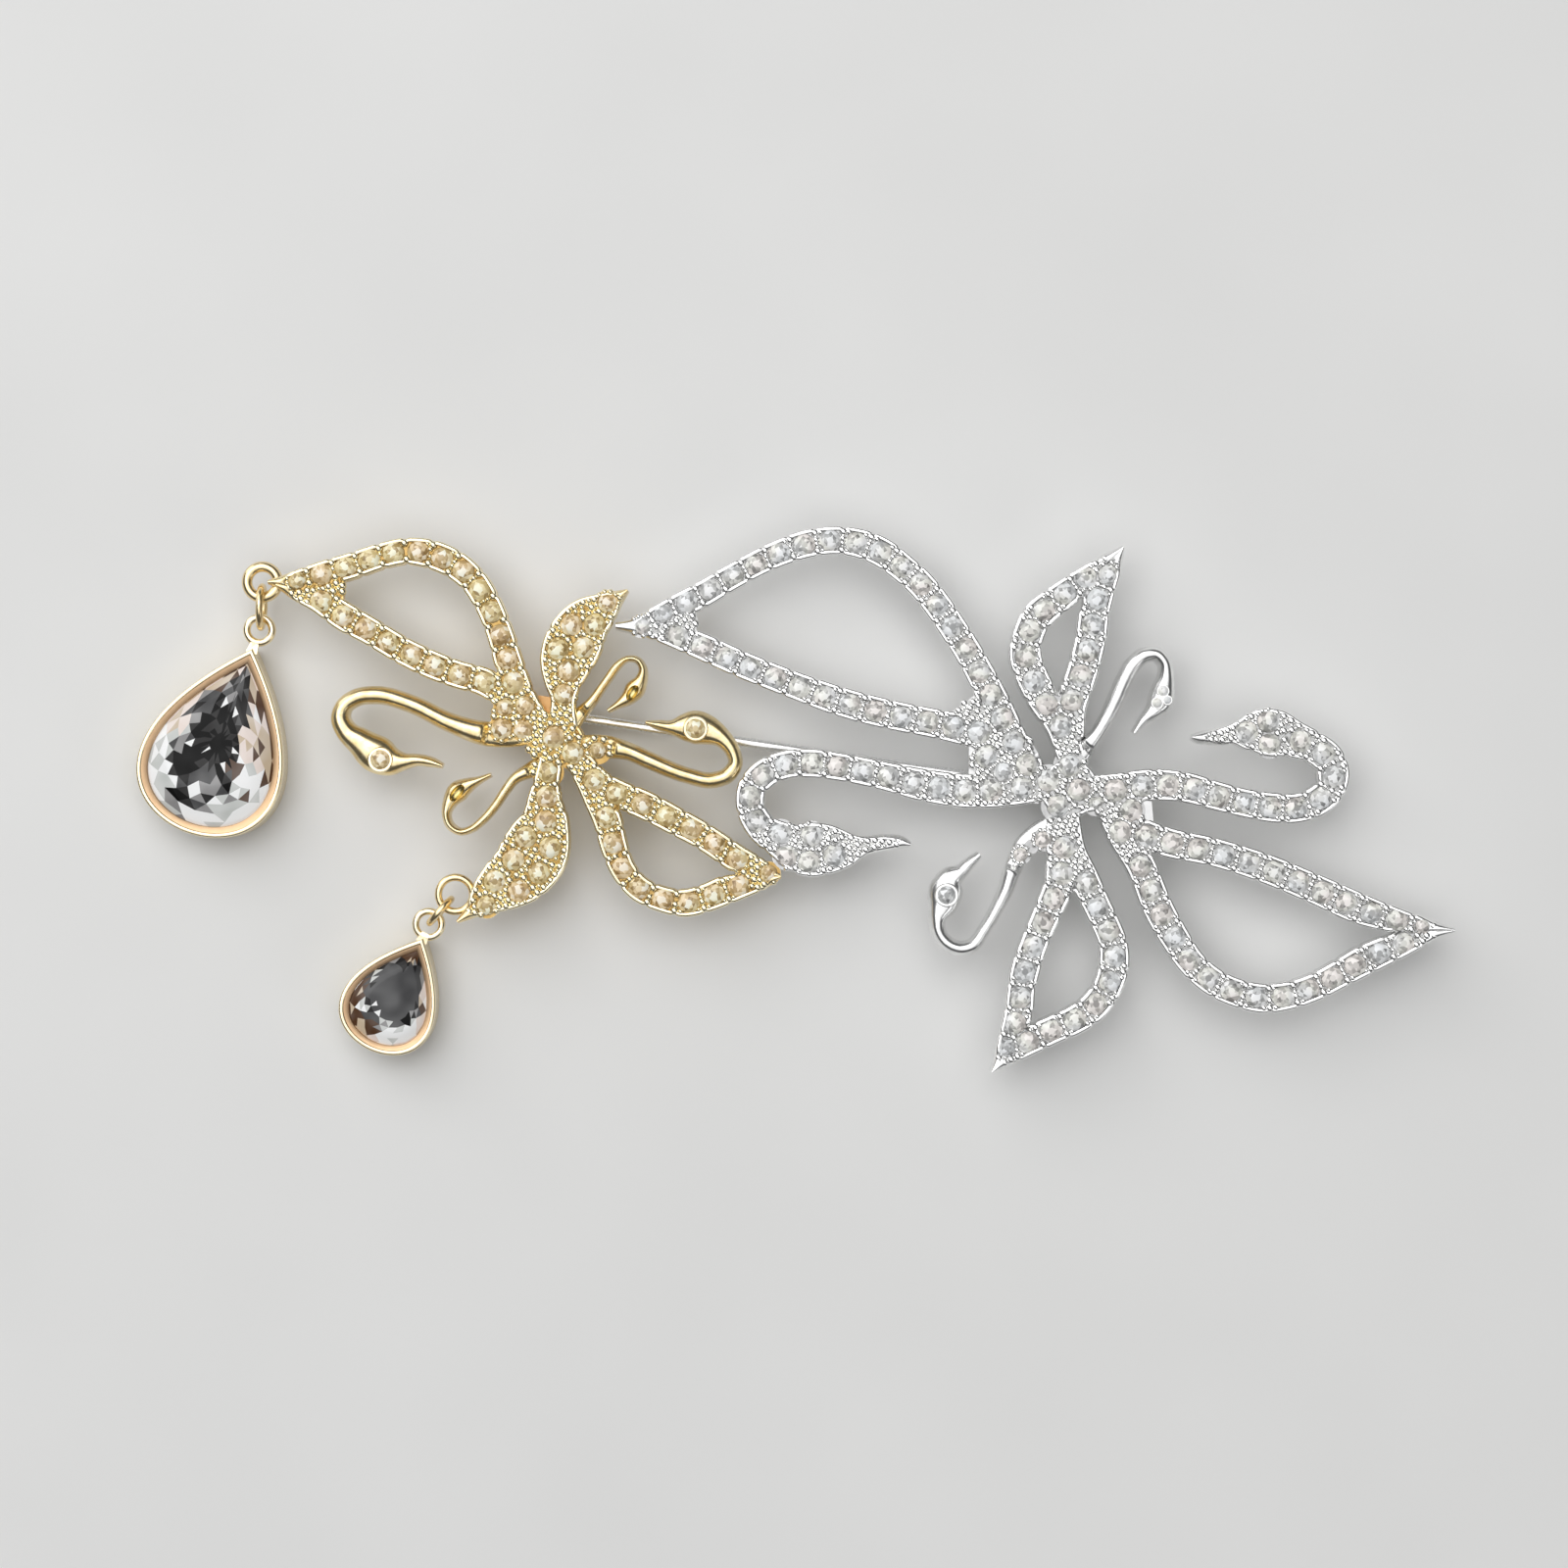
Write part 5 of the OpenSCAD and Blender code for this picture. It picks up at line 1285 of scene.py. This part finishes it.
def bezel_tab(drop, ring):
    """The tab that joins a cup to its ring: a short bar along the drop's axis."""
    length, _, middle, turn = DROPS[drop]
    along = np.radians(turn + 90)
    ahead, side = np.array([np.cos(along), np.sin(along)]), np.array([-np.sin(along), np.cos(along)])
    start = np.array(middle) + ahead * (length / 2 - TAB_IN)
    end = start + ahead * TAB_LONG
    outline = [start + side * TAB_START, start - side * TAB_START,
               end - side * TAB_END, end + side * TAB_END]
    return prism(outline, ring[2] - TAB_THICK, ring[2] + TAB_THICK)


for drop, ring, deep in (("large", LARGE_DROP_RING, 1.1), ("small", SMALL_DROP_RING, 1.0)):
    parts = [cup(drop, deep), bezel_tab(drop, ring), wire_ring(*ring)]
    bezel = fuse(f"{drop}_bezel_dressed", parts, [DROP_GOLD, BEVEL_GOLD_PAINTED_SHADE], sharp_angle=50)
    stand_for(bezel, f"{drop}_bezel")

# %% [markdown]
# ## Crystals
# A pear-cut crystal has a foiled back, so its table shows the pavilion as a kaleidoscope: a
# dark middle, pale facets round the edge and a few white flashes. Here that kaleidoscope is a
# painted reflection in the facets' colours. The crown is cut in rings of pears whose corners
# alternate, and each triangle between two rings is a facet. What a facet shows is told by
# patches: a facet takes the glass of the patch that it lies nearest to for the patch's size, and
# now and then the next paler or darker one, or a painted flash.

# %% Crystals
def glass(name, colour, clear, gloss):
    """A polished facet: its colour, a painted reflection, with a slow cloud in it. Its gloss is
    weaker than plain glass would have, because the foil's painted reflection outshines it."""
    finish = Finish(name, roughness=0.04, ior=1.55, specular_ior_level=gloss)
    cloud = finish.noise(600.0, 1.0)
    paler = tuple(c + (1 - c) * clear for c in colour)
    return finish.set(Base_Color=finish.ramp(cloud, [(0.35, colour), (0.7, paler)]))


# Six painted reflections of the foil from the darkest to the palest, then three warm ones.
# Columns: colour, how far its cloud goes towards white, gloss
GLASSES = {
    "black": [(0.002, 0.002, 0.002), 0.01, 0.08],
    "dark": [(0.02, 0.019, 0.019), 0.03, 0.12],
    "slate": [(0.055, 0.055, 0.057), 0.09, 0.15],
    "grey": [(0.27, 0.265, 0.265), 0.15, 0.25],
    "pale": [(0.6, 0.62, 0.6), 0.3, 0.25],
    "white": [(0.97, 0.98, 0.98), 0.5, 0.25],
    "brown": [(0.09, 0.042, 0.02), 0.08, 0.15],
    "beige": [(0.62, 0.5, 0.36), 0.25, 0.25],
    "rose": [(0.85, 0.74, 0.68), 0.25, 0.25],
}
GLASSES = {name: glass("crystal_" + name, *row) for name, row in GLASSES.items()}
print("glasses:", list(GLASSES))

# %% What the crystals show
# The number of cool glasses
COOL = 6
# Patches of painted reflection. Columns: across, along towards the tip, both as shares of the
# outline, size, glass.
PATCHES = {
    "large": [
        [0.0, 0.86, 0.2, "beige"], [-0.3, 0.66, 0.26, "beige"], [-0.55, 0.42, 0.2, "beige"],
        [0.3, 0.62, 0.22, "beige"], [0.5, 0.4, 0.22, "beige"], [0.04, 0.7, 0.14, "slate"],
        [0.0, 0.5, 0.2, "slate"], [0.16, 0.3, 0.14, "dark"], [-0.36, 0.3, 0.19, "slate"],
        [-0.76, 0.22, 0.18, "rose"], [-0.6, 0.05, 0.14, "rose"], [-0.5, -0.12, 0.15, "grey"],
        [-0.1, 0.17, 0.3, "black"], [0.12, -0.08, 0.2, "black"], [0.3, -0.2, 0.1, "brown"],
        [-0.34, -0.3, 0.2, "black"], [0.02, -0.48, 0.22, "slate"], [-0.26, -0.57, 0.12, "dark"],
        [0.24, -0.34, 0.1, "dark"], [0.1, -0.66, 0.1, "grey"], [-0.6, -0.6, 0.2, "white"],
        [-0.82, -0.4, 0.24, "white"], [0.25, -0.78, 0.2, "white"], [0.1, -0.95, 0.2, "white"],
        [-0.35, -0.9, 0.2, "pale"], [0.4, 0.1, 0.17, "rose"], [0.6, -0.3, 0.14, "white"],
        [0.48, -0.5, 0.16, "pale"], [0.64, 0.1, 0.2, "beige"], [0.84, -0.15, 0.16, "beige"],
        [0.75, -0.55, 0.18, "white"], [0.62, -0.44, 0.07, "brown"], [-0.95, -0.1, 0.16, "white"],
        [0.5, -0.8, 0.15, "white"], [0.44, -0.66, 0.08, "grey"],
    ],
    "small": [
        [0.0, 0.06, 0.5, "slate"], [-0.1, 0.7, 0.2, "brown"], [-0.12, 0.5, 0.14, "dark"],
        [0.3, 0.62, 0.16, "slate"], [0.2, 0.84, 0.18, "beige"], [0.62, 0.3, 0.2, "beige"],
        [0.84, 0.1, 0.22, "beige"], [0.84, -0.2, 0.16, "rose"], [0.56, 0.14, 0.1, "beige"],
        [0.46, -0.3, 0.1, "black"], [0.6, -0.42, 0.14, "white"], [0.42, -0.58, 0.14, "white"],
        [0.24, -0.72, 0.14, "white"], [0.7, -0.66, 0.14, "rose"], [-0.16, -0.66, 0.12, "brown"],
        [-0.3, -0.78, 0.12, "beige"], [-0.72, -0.3, 0.18, "brown"], [-0.5, -0.4, 0.1, "pale"],
        [-0.62, 0.46, 0.2, "beige"], [-0.86, 0.0, 0.16, "brown"], [-0.55, -0.66, 0.14, "brown"],
        [0.1, -0.95, 0.16, "rose"], [-0.6, 0.1, 0.1, "grey"], [0.1, -0.5, 0.1, "pale"],
    ],
}
# Shares of facets that stray and that get a painted flash, and how far from its middle the
# painted picture is calm
HABITS = {"large": [0.5, 0.05, 0.1], "small": [0.4, 0.02, 0.5]}


def glass_of(drop, middles):
    """The glass of each facet from the patches, by the least distance over size, with strays."""
    length, width, centre, turn = DROPS[drop]
    c, s = np.cos(np.radians(turn)), np.sin(np.radians(turn))
    x, y = middles[:, 0] - centre[0], middles[:, 1] - centre[1]
    here = np.stack([(x * c + y * s) * 2 / width, (y * c - x * s) * 2 / length], -1)
    kinds = list(GLASSES)
    places = np.array([patch[:3] for patch in PATCHES[drop]])
    away = np.linalg.norm(here[:, None] - places[None, :, :2], axis=2) / places[:, 2]
    kind = np.array([kinds.index(patch[3]) for patch in PATCHES[drop]])[away.argmin(axis=1)]
    chance = draw.uniform(0, 1, len(kind))
    strays, flashes, calm = HABITS[drop]
    stray = strays * (np.linalg.norm(here, axis=1) > calm)
    least, most = np.where(kind < COOL, 0, COOL), np.where(kind < COOL, COOL, len(kinds)) - 1
    kind = kind + np.where(chance < stray / 2, -1, np.where(chance < stray, 1, 0))
    # A flash takes the white glass: a painted highlight
    return np.where(chance > 1 - flashes, COOL - 1, np.clip(kind, least, most))


print("patches:", {drop: len(rows) for drop, rows in PATCHES.items()})

# %% Cut crystals
# How far in from the drop's edge a crystal starts, and how many sectors it is cut in
CRYSTAL_INSET, SECTORS = 0.48, 22
# Rings from the foot up to the table's middle, three under the girdle, then the crown's. Columns:
# share of the outline, height, phase.
RINGS = [
    [0.05, 0.56, 0.0], [0.45, 1.25, 0.0], [1.0, 3.0, 0.0], [1.0, 3.1, 0.0], [0.9, 3.36, 0.5],
    [0.8, 3.59, 0.0], [0.7, 3.77, 0.5], [0.6, 3.83, 0.0], [0.48, 3.83, 0.5], [0.36, 3.83, 0.0],
    [0.24, 3.83, 0.5], [0.12, 3.83, 0.0],
]
# How many bands lie under the crown
LOWER = 3


def crown_band(number):
    """Triangles from a ring to the next, two for each sector. The phases alternate, so each
    quad is split along one diagonal and then along the other."""
    a, b, c, d = band(number * SECTORS, (number + 1) * SECTORS, SECTORS).T
    order = (a, b, d, b, c, d) if (number - LOWER) % 2 == 0 else (a, c, d, a, b, c)
    return np.stack(order, -1).reshape(-1, 3)


def crystal(drop):
    """The crystal's shell: a foot, quads up to the girdle, triangles between the crown's rings,
    and the middle facet."""
    points = np.vstack([pear(drop, CRYSTAL_INSET, share, z, stepped_turn(SECTORS, phase))
                        for share, z, phase in RINGS])
    foot = np.arange(SECTORS)[None, ::-1]
    sides = [band(low * SECTORS, (low + 1) * SECTORS, SECTORS) for low in range(LOWER)]
    crown = np.vstack([crown_band(number) for number in range(LOWER, len(RINGS) - 1)])
    middle = (len(RINGS) - 1) * SECTORS + np.arange(SECTORS)[None]
    shown = np.vstack([points[crown].mean(axis=1), points[middle].mean(axis=1)])
    kinds = np.concatenate([np.ones(1 + LOWER * SECTORS), glass_of(drop, shown)])
    return make_shell(points, [foot, *sides, crown, middle], kinds)


for drop in DROPS:
    shell = crystal(drop)
    made = to_object(f"{drop}_crystal_dressed", shell, list(GLASSES.values()))
    stand_for(made, f"{drop}_crystal")
    print(made.name, "facets", len(shell["sizes"]))

# %% [markdown]
# ## Parts that keep their mesh
# The jump rings and the pin's three parts are right as the solids have them, so only their
# finish changes.

# %% Rings and pin
KEPT = {
    "large_jump_ring": RING_GOLD, "small_jump_ring": RING_GOLD,
    "pin_hinge": HINGE_GOLD_PAINTED_SHADE, "pin_stem": PIN_STEEL, "pin_catch": PIN_STEEL,
}
for name, finish in KEPT.items():
    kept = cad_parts[name]
    for slot in kept.material_slots:
        slot.material = finish
    kept.data.polygons.foreach_set("use_smooth", np.ones(len(kept.data.polygons), bool))
    print(name, "slots", len(kept.material_slots))

# %% [markdown]
# ## Floor, light and camera
# The brooch lies on a pale floor. Polished metal only shows what is round it. So a broad light
# from the upper left and a broader one overhead, with darkness between them, draw bright and dark
# bands along the necks. A smaller one low at the side and a weak one across from it lift the
# walls. The camera looks straight down, as the photograph does.

# %% Floor
# In metres, a hair under the drops that lie on it
FLOOR_Z = -0.00005
floor_mesh = bpy.data.meshes.new("floor")
corners = [(x, y, FLOOR_Z) for x, y in ((-1, -1), (1, -1), (1, 1), (-1, 1))]
floor_mesh.from_pydata(corners, [], [(0, 1, 2, 3)])
floor = add_object("floor", floor_mesh)
paper = Finish("floor_paper", roughness=0.75)
floor_mesh.materials.append(paper.set(Base_Color=paper.ramp(paper.noise(40.0), [
    (0.3, (0.8, 0.8, 0.79)), (0.7, (0.83, 0.83, 0.82))])))
print("floor at", FLOOR_Z / MM, "mm")

# %% Lights
world = bpy.data.worlds.new("studio")
world.use_nodes = True
sky = world.node_tree.nodes["Background"].inputs
sky["Color"].default_value, sky["Strength"].default_value = (0.97, 0.98, 1.0, 1), 0.09
bpy.context.scene.world = world
bpy.context.scene.view_settings.view_transform = "Standard"
# Columns: place and size in metres, watts
LIGHTS = {
    "key": [(-0.25, 0.32, 0.58), 0.78, 3.2],
    "top": [(0.0, 0.0, 0.9), 1.1, 4.1],
    "side": [(-0.5, 0.45, 0.15), 0.3, 0.5],
    "fill": [(0.45, -0.3, 0.3), 0.2, 0.2],
}
for name, (place, size, watts) in LIGHTS.items():
    lamp = bpy.data.lights.new(name, "AREA")
    lamp.shape, lamp.size, lamp.energy = "SQUARE", size, watts
    light = add_object(name, lamp)
    light.location = place
    light.rotation_euler = (-light.location).to_track_quat("-Z", "Y").to_euler()
print("lights:", list(LIGHTS))

# %% Camera
# In metres: the photograph's width and middle, and the stones' height. In millimetres: the lens
# and the sensor.
FRAME_WIDTH, MIDDLE, FACE_Z, LENS, SENSOR = 0.1168, (-0.00077, 0.00106), 0.005, 100.0, 36.0
camera = bpy.data.cameras.new("camera")
camera.lens, camera.sensor_width = LENS, SENSOR
camera.clip_start = 0.01
viewer = add_object("camera", camera)
viewer.location = (*MIDDLE, FACE_Z + FRAME_WIDTH * LENS / SENSOR)
bpy.context.scene.camera = viewer
print("camera at", tuple(round(c, 4) for c in viewer.location))
